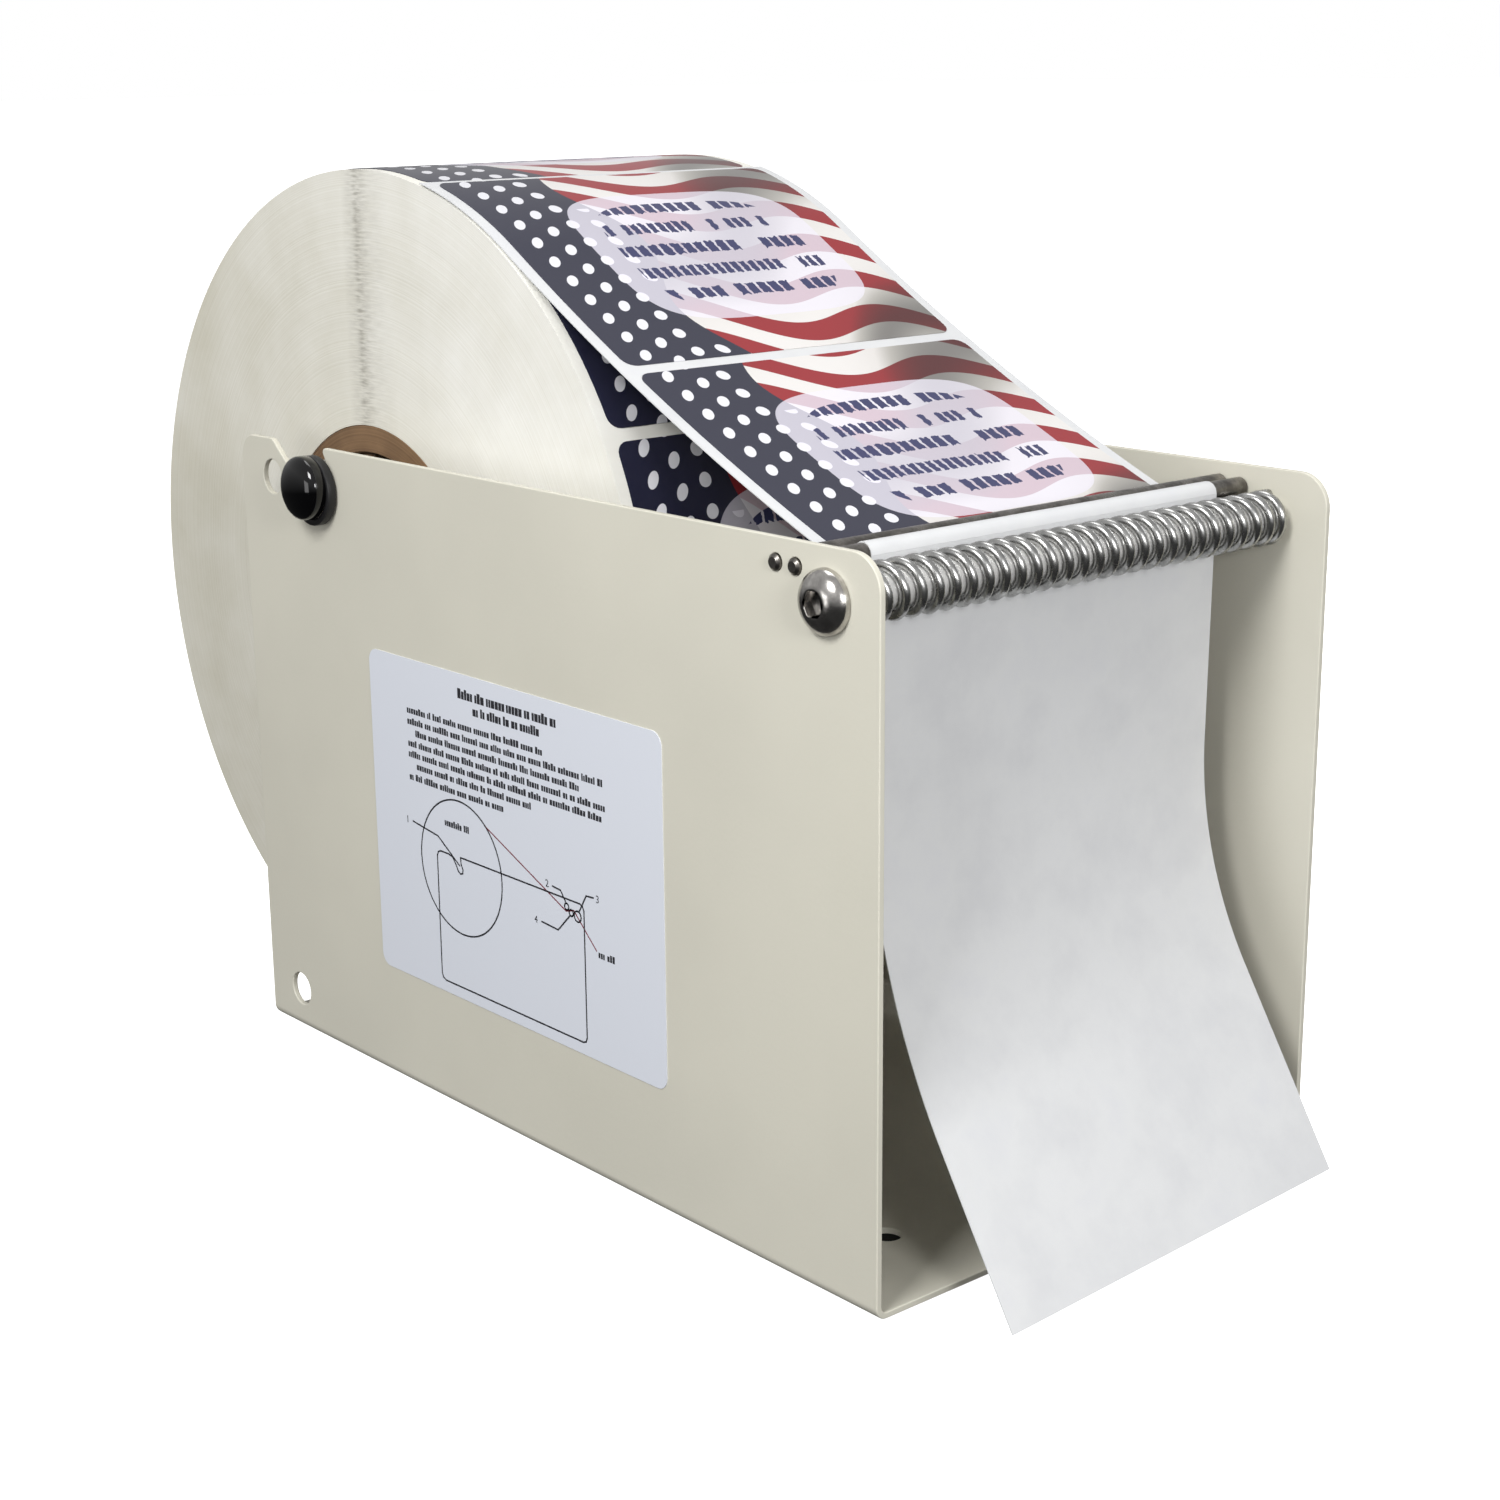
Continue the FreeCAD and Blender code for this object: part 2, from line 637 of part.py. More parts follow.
def make_web_and_labels():
    """The liner from the roll to the lower rod, and the two labels that ride on it."""
    path = web_path()
    half = sheet.liner_thickness / 2
    total = sum(length_of(piece) for piece in path)
    add_solid("liner_web", strip(path, -half, half, sheet.roll_width))
    second_start = sheet.label_gap / 2
    second_end = second_start + sheet.label_length
    front_start = second_end + sheet.label_gap
    front_end = min(front_start + sheet.label_length, total)
    second = cut_path(path, second_start, second_end)
    front = cut_path(path, front_start, front_end)
    second_solid = strip(second, sheet.label_low, sheet.label_high, sheet.label_width)
    second_ends = [second[0], second[-1]]
    front_solid = strip(front, sheet.label_low, sheet.label_high, sheet.label_width)
    middle = (sheet.label_low + sheet.label_high) / 2
    start_point = [offset_edge(front[0], middle).firstVertex(True).Point]
    second_points = [
        offset_edge(second_ends[0], middle).firstVertex(True).Point,
        offset_edge(second_ends[1], middle).lastVertex(True).Point,
    ]
    add_solid("second_label", round_corners(second_solid, second_points))
    add_solid("front_label", round_corners(front_solid, start_point))


def make_roll_labels():
    """The labels that show round the roll, as many as it has room for, one after another behind the web's start."""
    middle_radius = (sheet.roll_label_low + sheet.roll_label_high) / 2
    pitch = (sheet.label_length + sheet.label_gap) / middle_radius
    span = sheet.label_length / middle_radius
    first = web_path()[0]["start"] - sheet.label_gap / 2 / middle_radius
    labels = []
    for step in range(int(2 * math.pi / pitch)):
        finish = first - step * pitch
        arc = arc_piece(roll_centre, middle_radius, finish - span, finish)
        half = sheet.label_thickness / 2
        solid = strip([arc], -half, half, sheet.label_width)
        ends = [polar(roll_centre, middle_radius, angle) for angle in (finish - span, finish)]
        labels.append(round_corners(solid, ends))
    add_solid("roll_labels", Part.Compound(labels))


def make_waste_liner():
    """The empty liner below the peel edge: straight down behind the spring, then bent forward out of the front."""
    radius, angle = sheet.tail_bend_radius, math.radians(sheet.tail_bend_angle)
    start = polar(bottom_rod, sheet.over_rod_radius, math.pi)
    bend_start = Vector(0, start.y, sheet.tail_bend_height)
    centre = bend_start - Vector(0, radius, 0)
    bend_end = polar(centre, radius, -angle)
    run = (bend_end.z - sheet.tail_end_height) / math.cos(angle)
    finish = bend_end - Vector(0, math.sin(angle), math.cos(angle)) * run
    path = [line_piece(start, bend_start), arc_piece(centre, radius, 0, -angle), line_piece(bend_end, finish)]
    half = sheet.liner_thickness / 2
    add_solid("waste_liner", strip(path, -half, half, sheet.roll_width))


# Peel rods, spring shaft and screws

def make_rod(label, along, up):
    """A thin rod with a stepped neck at each end that passes through the plate and is peened outside it."""
    body = new_body(label)
    section = new_sketch(body, "rod_section", "XZ_Plane")
    shoulder = f"{INNER_HALF_WIDTH} - sizes.rod_end_gap"
    tip = f"{HALF_WIDTH} + sizes.rod_stub"
    bar, neck = "sizes.rod_diameter / 2", "sizes.rod_neck_diameter / 2"
    half = [(tip, "0"), (tip, neck), (shoulder, neck), (shoulder, bar)]
    mirrored = [(f"-({across})", height) for across, height in reversed(half)]
    add_polygon(section, half + mirrored)
    add_revolution(body, "rod_bar", section)
    tip_place = number(tip)
    ends = [
        name for name in circles_of(body, sheet.rod_neck_diameter / 2)
        if near(abs(ends_of(body, name)[0].x), tip_place)
    ]
    add_dress(body, "Chamfer", "peened_ends", ends, "Size", "sizes.rod_stub_chamfer")
    place(body, "0", along, up)


def make_support_shaft():
    """The bar inside the spring, with a threaded bore at each end for the screws."""
    body = new_body("label_support_shaft")
    section = new_sketch(body, "support_section", "XZ_Plane")
    end, bar = INNER_HALF_WIDTH, "sizes.support_diameter / 2"
    bore = "sizes.screw_diameter / 2 + sizes.thread_clearance"
    floor = f"{HALF_WIDTH} - sizes.screw_length - sizes.thread_spare_depth"
    half = [(floor, "0"), (floor, bore), (end, bore), (end, bar)]
    mirrored = [(f"-({across})", height) for across, height in reversed(half)]
    add_polygon(section, half + mirrored)
    add_revolution(body, "support_bar", section)
    rims = circles_of(body, sheet.support_diameter / 2)
    add_dress(body, "Chamfer", "support_ends", rims, "Size", "sizes.support_chamfer")
    place(body, "0", SUPPORT_Y, "sizes.support_height")


# the button head's dome as shares of its height over the rim and of the rim's radius
BUTTON_SHARES = ((0.0, 1.0), (0.65, 0.82), (1.0, 0.5))


def make_screw(label, side):
    """A button-head screw: a low dome with a hexagon socket and a plain shank."""
    body = new_body(label)
    section = new_sketch(body, "screw_section", "XZ_Plane")
    tip, shank = "-sizes.screw_length", "sizes.screw_diameter / 2"
    lip, rim = "sizes.screw_head_rim", "sizes.screw_head_diameter / 2"
    dome = [
        (f"{lip} + {rise} * (sizes.screw_head_height - {lip})", f"{reach} * {rim}")
        for rise, reach in BUTTON_SHARES
    ]
    crown = ("sizes.screw_head_height", "0")
    add_polygon(section, [(tip, "0"), (tip, shank), ("0", shank), ("0", rim)] + dome + [crown])
    add_revolution(body, "screw_form", section)
    socket = new_sketch(body, "socket_outline", "YZ_Plane")
    socket.AttachmentOffset = FreeCAD.Placement(Vector(0, 0, sheet.screw_head_height), FreeCAD.Rotation())
    corner = f"sizes.socket_flats / 2 / cos({180 / SOCKET_SIDES} deg)"
    angles = [360 * step / SOCKET_SIDES for step in range(SOCKET_SIDES)]
    hexagon = [(f"{corner} * cos({angle} deg)", f"{corner} * sin({angle} deg)") for angle in angles]
    add_polygon(socket, hexagon)
    add_pocket(body, "hex_socket", socket, "sizes.socket_depth")
    place_at_side(body, side, SUPPORT_Y, "sizes.support_height")


# Coil spring: one wire wound along the spring shaft

def arc_through(start, corner, finish):
    """The arc that is tangent to both legs of a corner with equal legs."""
    middle = (start + finish) / 2
    half_chord = (finish - start).Length / 2
    leg = (corner - start).Length
    half_turn = math.acos(half_chord / leg)
    rise = half_chord * math.tan(half_turn / 2)
    return Part.Arc(start, middle + (corner - middle).normalize() * rise, finish).toShape()


def biarc(start, start_way, finish, finish_way):
    """Two arcs that leave one point and reach another along given unit directions."""
    apart = finish - start
    ways = start_way + finish_way
    square = 2 * (1 - start_way.dot(finish_way))
    slope = apart.dot(ways)
    leg = (-slope + math.sqrt(slope**2 + square * apart.dot(apart))) / square
    first_corner = start + start_way * leg
    second_corner = finish - finish_way * leg
    joint = (first_corner + second_corner) / 2
    return [arc_through(start, first_corner, joint), arc_through(joint, second_corner, finish)]


def make_spring():
    radius = (sheet.spring_diameter - sheet.wire_diameter) / 2
    wire = sheet.wire_diameter
    travel = number(INNER_HALF_WIDTH) * 2 - 2 * sheet.spring_end_gap - wire
    half_turns = 2 * SPRING_TURNS
    # the straight ends lean along the axis as the coils do
    turn_length = 2 * math.pi * radius
    pitch = travel / (SPRING_TURNS + 2 * wire / turn_length)
    rise = pitch / (2 * math.pi)
    unit = math.hypot(radius, rise)
    lead = wire * rise / unit
    start_x = -travel / 2 + lead

    def point(angle):
        return Vector(start_x + rise * angle, radius * math.cos(angle), radius * math.sin(angle))

    def way(angle):
        return Vector(rise, -radius * math.sin(angle), radius * math.cos(angle)) / unit

    first, last = 0, math.pi * half_turns
    edges = [Part.LineSegment(point(first) - way(first) * wire, point(first)).toShape()]
    for step in range(half_turns):
        low, high = math.pi * step, math.pi * (step + 1)
        edges += biarc(point(low), way(low), point(high), way(high))
    edges.append(Part.LineSegment(point(last), point(last) + way(last) * wire).toShape())
    spine = Part.Wire(edges)
    # an even-sided section with the area of the round wire
    corner_radius = wire / 2 * math.sqrt(2 * math.pi / WIRE_SIDES / math.sin(2 * math.pi / WIRE_SIDES))
    centre, along = point(first) - way(first) * wire, way(first)
    across = Vector(0, 1, 0) - along * along.y
    across.normalize()
    upward = along.cross(across)
    corners = []
    for side in range(WIRE_SIDES):
        angle = 2 * math.pi * (side + 0.5) / WIRE_SIDES
        corners.append(centre + (across * math.cos(angle) + upward * math.sin(angle)) * corner_radius)
    profile = Part.makePolygon(corners + corners[:1])
    coil = spine.makePipeShell([profile], True, False)
    print_least_gap(spine, wire)
    add_solid("support_spring", coil, Vector(0, number(SUPPORT_Y), sheet.support_height))


def print_least_gap(spine, wire):
    """The least gap of the wire to itself, on points from half a turn to two turns and a half apart."""
    turn = 24
    points = spine.discretize(SPRING_TURNS * turn)
    least = min(
        (points[first] - points[second]).Length
        for first in range(len(points))
        for second in range(first + turn // 2, min(first + turn * 5 // 2, len(points)))
    )
    print(f"least gap of the spring's wire to itself {least - wire:.2f} mm")


make_housing()
make_sticker()
make_core_shaft()
for side_name, side_sign in SIDES:
    make_collar(f"{side_name}_shaft_collar", side_sign)
    make_cap(f"{side_name}_shaft_cap", side_sign)
    make_screw(f"{side_name}_shaft_screw", side_sign)
core_outside = "sizes.core_bore_diameter + 2 * sizes.core_wall"
make_tube("cardboard_core", "sizes.core_bore_diameter", core_outside, "sizes.roll_width")
make_tube("label_roll", f"{core_outside} + 2 * sizes.layer_gap", "sizes.roll_diameter", "sizes.roll_width")
make_roll_labels()
make_web_and_labels()
make_waste_liner()
make_rod("top_peel_shaft", TOP_ROD_Y, "sizes.top_rod_height")
make_rod("bottom_peel_bar", BOTTOM_ROD_Y, "sizes.bottom_rod_height")
make_support_shaft()
make_spring()
doc.recompute()

# Every object is checked, and then each piece is written under its own name.
for item in doc.Objects:
    if "Invalid" in item.State or "Error" in item.State:
        raise RuntimeError(f"{item.Label} failed to recompute")
PIECE_TYPES = ("PartDesign::Body", "Part::Feature")
pieces = [item for item in doc.Objects if item.TypeId in PIECE_TYPES]
for piece in pieces:
    if piece.Shape.isNull() or not piece.Shape.isValid() or not piece.Shape.Solids:
        raise RuntimeError(f"{piece.Label} has no sound solid")
for piece in pieces:
    piece.Shape.exportStep(f"parts/{piece.Label}.step")
    box = piece.Shape.BoundBox
    print(f"{piece.Label}: {len(piece.Shape.Solids)} solid(s), {piece.Shape.Volume:.1f} mm3,"
          f" x {box.XMin:.1f}..{box.XMax:.1f}, y {box.YMin:.1f}..{box.YMax:.1f}, z {box.ZMin:.1f}..{box.ZMax:.1f}")
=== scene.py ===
"""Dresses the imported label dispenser: its sheet steel, paper, print, spring and turned parts, and the stage."""

import math
import random

import bpy
from bpy.props import FloatProperty, FloatVectorProperty, IntProperty, PointerProperty
from mathutils import Matrix, Vector


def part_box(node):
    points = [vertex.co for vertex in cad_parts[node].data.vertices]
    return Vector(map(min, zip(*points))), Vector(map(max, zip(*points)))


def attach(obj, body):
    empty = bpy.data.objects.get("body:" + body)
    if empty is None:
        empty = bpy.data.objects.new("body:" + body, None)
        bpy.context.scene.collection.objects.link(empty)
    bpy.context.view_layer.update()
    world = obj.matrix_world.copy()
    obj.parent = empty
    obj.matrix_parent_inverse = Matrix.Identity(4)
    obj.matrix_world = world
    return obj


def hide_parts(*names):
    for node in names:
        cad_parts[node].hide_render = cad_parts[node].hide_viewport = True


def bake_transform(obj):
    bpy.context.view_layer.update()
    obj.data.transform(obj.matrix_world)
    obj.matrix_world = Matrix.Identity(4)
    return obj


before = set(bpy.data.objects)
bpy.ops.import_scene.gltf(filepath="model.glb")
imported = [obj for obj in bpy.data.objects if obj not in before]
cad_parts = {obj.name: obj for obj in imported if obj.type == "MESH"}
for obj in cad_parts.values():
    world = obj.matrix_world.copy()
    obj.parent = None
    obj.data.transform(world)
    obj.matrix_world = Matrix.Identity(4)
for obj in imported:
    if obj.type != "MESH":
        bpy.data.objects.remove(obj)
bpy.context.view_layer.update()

bl_info = {
    "name": "Label dispenser",
    "version": (1, 0, 0),
    "blender": (4, 5, 0),
    "location": "3D View > Sidebar > Dispenser",
    "description": "Builds the visible pieces of a desk label dispenser round its packed solids",
    "category": "Object",
}

MM = 0.001
MERGE = 1e-6
SIDES = (("left", -1), ("right", 1))
SHEET = 1.5 * MM  # the housing's steel

# Grids and rings: how finely the curved pieces are divided
LABEL_COLUMNS, LABEL_CORNER_ROWS = 24, 5
WEB_COLUMNS, WEB_ROWS = 16, 150
TAIL_COLUMNS, TAIL_ROWS = 24, 110
WIRE_SIDES, WIRE_STEPS = 12, 36

# The sticker's drawing, in millimetres across and down from its upper left corner as it is read.
# Rows of words: from, to, down, height
STICKER_WORDS = (
    (38, 56, 5.1, 1.9), (57.6, 76, 5.1, 1.9), (44, 69, 8.5, 1.7), (16, 70.5, 13.0, 1.3),
    (16, 93.5, 15.8, 1.3), (19.3, 84.3, 18.6, 1.3), (16, 96, 21.4, 1.3), (16, 92, 24.1, 1.3),
    (19.3, 66.3, 26.9, 1.3), (16, 55.2, 29.9, 1.3), (30.5, 41, 38.5, 1.3), (90.5, 96.5, 56.6, 1.3),
)
# Rings: middle, radius, corners; the roll, the two rods and the spring
STICKER_RINGS = (((36.7, 48.7), 16.9, 64), ((78.9, 47.9), 0.8, 12), ((80.6, 49.0), 0.8, 12), ((83.0, 49.3), 1.3, 14))
# Lines: the plate with its slot, and a line to each of the four numbers
STICKER_LINES = (
    ((31.6, 46.2), (33.2, 46.6), (34.6, 48.2), (35.4, 49.6), (36.3, 50.2), (37.3, 49.9), (37.5, 49.0),
     (36.8, 47.7), (36.6, 46.0), (83.9, 46.0), (84.9, 46.4), (85.4, 47.4), (85.4, 78.2), (85.0, 79.2),
     (84.0, 79.6), (28.4, 79.6), (27.2, 79.1), (26.7, 78.0), (26.7, 47.6), (27.2, 46.6), (28.2, 46.2),
     (31.6, 46.2)),
    ((16.6, 41.2), (27.3, 42.6), (36.2, 48.2)),
    ((73.6, 44.2), (76.7, 44.5), (78.7, 47.0)),
    ((89.1, 43.3), (86.4, 43.5), (83.6, 48.0)),
    ((69.0, 54.0), (75.4, 54.4), (80.0, 49.9)),
)
STICKER_NUMBERS = (("1", 13.6, 42.0), ("2", 70.9, 44.9), ("3", 89.9, 44.2), ("4", 66.2, 54.8))
STICKER_WEB = ((47.2, 35.6), (78.6, 49.0), (81.6, 48.2), (89.8, 55.8))

# The tail's two edges: the height where each starts to bend, the bend's radius and angle, and its foot's height
TAIL_LEFT = {"bend": 112.9 * MM, "radius": 144.2 * MM, "lean": math.radians(32.8), "foot": 0.8 * MM}
TAIL_RIGHT = {"bend": 98.0 * MM, "radius": 95.3 * MM, "lean": math.radians(32.6), "foot": 4.0 * MM}

# Softboxes: name, place, target, size in metres, power in watts
SOFTBOXES = (
    ("key_softbox", (-0.72, -0.25, 0.72), (0, 0, 0.14), 0.3, 5.9),
    ("side_softbox", (-0.9, 0.1, 0.16), (-0.06, 0, 0.12), 0.3, 0.8),
    ("right_softbox", (0.9, 0.08, 0.22), (0.07, 0.02, 0.12), 0.4, 3),
    ("front_softbox", (0.05, -1.15, 0.4), (0, -0.1, 0.1), 0.4, 2),
    ("near_softbox", (-0.26, -0.72, 0.34), (0, -0.05, 0.08), 0.15, 1.95),
    ("top_softbox", (0.15, 0.25, 1.2), (0, 0.05, 0.2), 0.5, 2.8),
)

# The camera: its place, its own three directions, its lens and sensor in millimetres, and its shift
CAMERA_PLACE = (-0.4024, -0.4635, 0.2515)
CAMERA_RIGHT = (0.76728, -0.64116, -0.01392)
CAMERA_UP = (0.17747, 0.19141, 0.96533)
CAMERA_BACK = (-0.61627, -0.74315, 0.26065)
CAMERA_LENS, CAMERA_SENSOR = 61.35, 36.0
CAMERA_SHIFT = (0.0379, 0.0007)


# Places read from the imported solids

def middle_of(node):
    """The middle of a node's box."""
    low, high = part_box(node)
    return (low + high) / 2


def size_of(node):
    """The size of a node's box."""
    low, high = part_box(node)
    return high - low


def axis_of(node):
    """Where a node's axis crosses the side view: its place along the machine and its height."""
    middle = middle_of(node)
    return middle.y, middle.z


# Values a user would change

class DispenserHousing(bpy.types.PropertyGroup):
    """The bent housing and its sticker."""

    edge_rounding: FloatProperty(
        name="Edge rounding", description="Radius the powder coat gives the sheet's edges",
        default=0.3 * MM, unit="LENGTH")
    coat_colour: FloatVectorProperty(
        name="Coat colour", description="Powder coat, linear", subtype="COLOR", size=3,
        default=(0.68, 0.66, 0.565))
    print_thickness: FloatProperty(
        name="Print thickness", description="How far the sticker's ink stands up",
        default=0.03 * MM, unit="LENGTH")


class DispenserRoll(bpy.types.PropertyGroup):
    """The wound roll, the web and the tail of liner."""

    liner_thickness: FloatProperty(
        name="Liner thickness", description="Thickness of the liner", default=0.25 * MM, unit="LENGTH")
    label_thickness: FloatProperty(
        name="Label thickness", description="Thickness of a label", default=0.15 * MM, unit="LENGTH")
    layer_gap: FloatProperty(
        name="Layer gap", description="Air between two layers of paper", default=0.02 * MM, unit="LENGTH")
    label_width: FloatProperty(
        name="Label width", description="Size of a label across the web", default=101.6 * MM, unit="LENGTH")
    label_length: FloatProperty(
        name="Label length", description="Size of a label along the web", default=81.0 * MM, unit="LENGTH")
    label_gap: FloatProperty(
        name="Label gap", description="Liner that shows between two labels", default=3.2 * MM, unit="LENGTH")
    label_corner: FloatProperty(
        name="Label corner", description="Radius of a label's corners", default=3.2 * MM, unit="LENGTH")
    label_count: IntProperty(
        name="Labels round the roll", description="Labels that show round the roll", default=8)
    web_sag: FloatProperty(
        name="Web sag radius", description="Radius of the web's curve between the roll and the rods",
        default=700 * MM, unit="LENGTH")
    web_gap: FloatProperty(
        name="Web gap", description="Air under the web on the roll", default=0.3 * MM, unit="LENGTH")
    web_start: FloatProperty(
        name="Web start", description="Where the web begins on the roll, from the rear towards the top",
        default=math.radians(104.1), subtype="ANGLE")
    web_drift: FloatProperty(
        name="Web drift", description="How far the web has wandered to the right where it leaves the last rod",
        default=2.5 * MM, unit="LENGTH")


class DispenserMetal(bpy.types.PropertyGroup):
    """The rods, the spring, the screws and the shaft."""

    coil_turns: IntProperty(name="Coil turns", description="Turns of the long spring", default=29)
    wire_diameter: FloatProperty(
        name="Wire diameter", description="Diameter of the spring's wire", default=2.3 * MM, unit="LENGTH")
    socket_flats: FloatProperty(
        name="Socket size", description="Distance across the screw socket's flats", default=5.0 * MM,
        unit="LENGTH")
    socket_depth: FloatProperty(
        name="Socket depth", description="Depth of the screw's socket", default=2.4 * MM, unit="LENGTH")


# Modelling

def begin_piece():
    """Leaves nothing selected, in object mode."""
    if bpy.context.mode != "OBJECT":
        bpy.ops.object.mode_set(mode="OBJECT")
    bpy.ops.object.select_all(action="DESELECT")


def edit_all():
    """Opens the active piece in edit mode with everything selected."""
    bpy.ops.object.mode_set(mode="EDIT")
    bpy.ops.mesh.select_all(action="SELECT")


def close_shell():
    """Merges doubled points of the piece in edit mode, turns its faces outwards and leaves edit mode."""
    bpy.ops.mesh.select_all(action="SELECT")
    bpy.ops.mesh.remove_doubles(threshold=MERGE)
    bpy.ops.mesh.normals_make_consistent(inside=False)
    bpy.ops.object.mode_set(mode="OBJECT")


def add_modifier(kind, **settings):
    """Adds a modifier to the active piece and applies it."""
    piece = bpy.context.active_object
    modifier = piece.modifiers.new(kind.title(), kind)
    for name, value in settings.items():
        setattr(modifier, name, value)
    bpy.ops.object.modifier_apply(modifier=modifier.name)


def finish_piece(name, material, body, slot, *nodes, smooth_below=35):
    """Names the active piece, puts its place in its mesh, and gives it its finish, body and nodes."""
    piece = bpy.context.active_object
    bpy.ops.object.transform_apply(location=True, rotation=True, scale=True)
    bpy.ops.object.shade_smooth_by_angle(angle=math.radians(smooth_below))
    piece.name = piece.data.name = name
    piece.data.materials.clear()
    piece.data.materials.append(material)
    if body:
        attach(piece, body)
    if nodes:
        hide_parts(*nodes)
    return piece


def turn_rings(rings, axis, sides, tube=False):
    """Turns rings, each a place across the machine and a radius, about an axis; a tube's rings close in a loop."""
    along, up = axis
    across, radius = rings[0]
    begin_piece()
    bpy.ops.mesh.primitive_circle_add(
        vertices=sides, radius=radius, fill_type="NOTHING" if tube else "NGON",
        location=(across, along, up), rotation=(0, math.pi / 2, 0))
    edit_all()
    for next_across, next_radius in rings[1:] + (rings[:1] if tube else []):
        share = next_radius / radius
        bpy.ops.mesh.extrude_region_move(TRANSFORM_OT_translate={"value": (next_across - across, 0, 0)})
        bpy.ops.transform.resize(value=(1, share, share), center_override=(next_across, along, up))
        across, radius = next_across, next_radius
    close_shell()
    return bpy.context.active_object


def lay_sheet(columns, rows, place, thickness):
    """A grid laid by place(share across, share along), with flat coordinates in metres, and given its thickness."""
    begin_piece()
    bpy.ops.mesh.primitive_grid_add(x_subdivisions=columns, y_subdivisions=rows, size=1)
    sheet = bpy.context.active_object
    flat = {}
    for vertex in sheet.data.vertices:
        across, along = vertex.co.x + 0.5, vertex.co.y + 0.5
        vertex.co, flat[vertex.index] = place(across, along)
    layer = sheet.data.uv_layers[0]
    for loop in sheet.data.loops:
        layer.data[loop.index].uv = flat[loop.vertex_index]
    add_modifier("SOLIDIFY", thickness=thickness, offset=0.0, use_even_offset=True)
    return sheet


# The web's path in the side view

def polar(centre, radius, angle):
    """A point of the side view at an angle counted from the rear towards the top."""
    return centre + Vector((0, math.cos(angle), math.sin(angle))) * radius


def angle_of(centre, point):
    """The angle at which a point stands from a centre in the side view."""
    return math.atan2(point.z - centre.z, point.y - centre.y)


def crossing_above(first, first_radius, second, second_radius):
    """The upper of the two points at given distances from two centres in the side view."""
    apart = second - first
    distance = apart.length
    along = (distance**2 + first_radius**2 - second_radius**2) / (2 * distance)
    rise = math.sqrt(first_radius**2 - along**2)
    direction = apart.normalized()
    across = Vector((0, -direction.z, direction.y))
    options = [first + direction * along + across * turn for turn in (rise, -rise)]
    return max(options, key=lambda point: point.z)


def layer_radii(sizes):
    """How far the roll's labels, the web's labels and the web lie from what they lie on."""
    roll = size_of("label_roll").y / 2
    roll_label = roll + sizes.layer_gap + sizes.label_thickness / 2
    label_rise = sizes.liner_thickness / 2 + sizes.layer_gap + sizes.label_thickness / 2
    web = roll_label + sizes.label_thickness / 2 + sizes.web_gap + sizes.liner_thickness / 2
    return roll_label, label_rise, web


def web_path(sizes):
    """The web's pieces of path: arcs (centre, radius, start, finish) and one line (start, finish)."""
    roll, top_rod, bottom_rod = (
        Vector((0, *axis_of(node))) for node in ("label_roll", "top_peel_shaft", "bottom_peel_bar"))
    rod = size_of("top_peel_shaft").z / 2
    web = layer_radii(sizes)[2]
    label_high = sizes.liner_thickness / 2 + sizes.layer_gap + sizes.label_thickness
    under_radius = rod + sizes.web_gap + label_high
    over_radius = rod + sizes.layer_gap + sizes.liner_thickness / 2
    sag = sizes.web_sag
    sag_centre = crossing_above(roll, sag + web, top_rod, sag - under_radius)
    leave = angle_of(roll, sag_centre)
    arrive = angle_of(sag_centre, top_rod) + 2 * math.pi
    between = bottom_rod - top_rod
    crossing = math.acos((under_radius + over_radius) / between.length)
    facing = angle_of(top_rod, bottom_rod) % (2 * math.pi)
    rear_of_rod = facing + crossing - math.pi
    return [
        (roll, web, sizes.web_start, leave),
        (sag_centre, sag, leave + math.pi, arrive),
        (top_rod, under_radius, arrive, facing + crossing),
        (polar(top_rod, under_radius, facing + crossing), polar(bottom_rod, over_radius, rear_of_rod)),
        (bottom_rod, over_radius, rear_of_rod, math.pi),
    ]


def length_of(piece):
    """The length of a piece of path."""
    if len(piece) == 4:
        return piece[1] * abs(piece[3] - piece[2])
    return (piece[1] - piece[0]).length


def point_on(path, distance, offset):
    """The point at a distance along a path and at an offset above it."""
    for piece in path:
        length = length_of(piece)
        if distance <= length or piece is path[-1]:
            break
        distance -= length
    share = distance / length
    if len(piece) == 4:
        centre, radius, start, finish = piece
        away = offset if finish > start else -offset
        return polar(centre, radius + away, start + (finish - start) * share)
    run = (piece[1] - piece[0]).normalized()
    return piece[0].lerp(piece[1], share) + Vector((0, run.z, -run.y)) * offset


def row_distances(length, corner, rows, ends=(True, True)):
    """Distances of a label's rows from its start, closer together where its corners are rounded."""
    turns = [math.pi / 2 * step / LABEL_CORNER_ROWS for step in range(LABEL_CORNER_ROWS + 1)]
    steps = [corner * (1 - math.cos(turn)) for turn in turns]
    low = steps if ends[0] else [0]
    high = [length - step for step in steps[::-1]] if ends[1] else [length]
    inner = rows - len(low) - len(high) + 2
    middle = [low[-1] + (high[0] - low[-1]) * step / inner for step in range(1, inner)]
    return low + middle + high


def lay_label(path, start, length, offset, rows, sizes, ends=(True, True), drift=0.0):
    """One label on a path, with rounded corners at the ends asked for; drift is how far it wanders a metre."""
    corner, width = sizes.label_corner, sizes.label_width
    distances = row_distances(length, corner, rows, ends)

    def place(across, along):
        distance = distances[round(along * rows)]
        from_end = min(distance if ends[0] else length, length - distance if ends[1] else length)
        short = max(corner - from_end, 0)
        half = width / 2 - corner + math.sqrt(max(corner**2 - short**2, 0))
        point = point_on(path, start + distance, offset)
        aside = (2 * across - 1) * half
        point.x = aside + drift * (start + distance)
        return point, (aside + width / 2, distance)

    return lay_sheet(LABEL_COLUMNS, rows, place, sizes.label_thickness)


# Materials

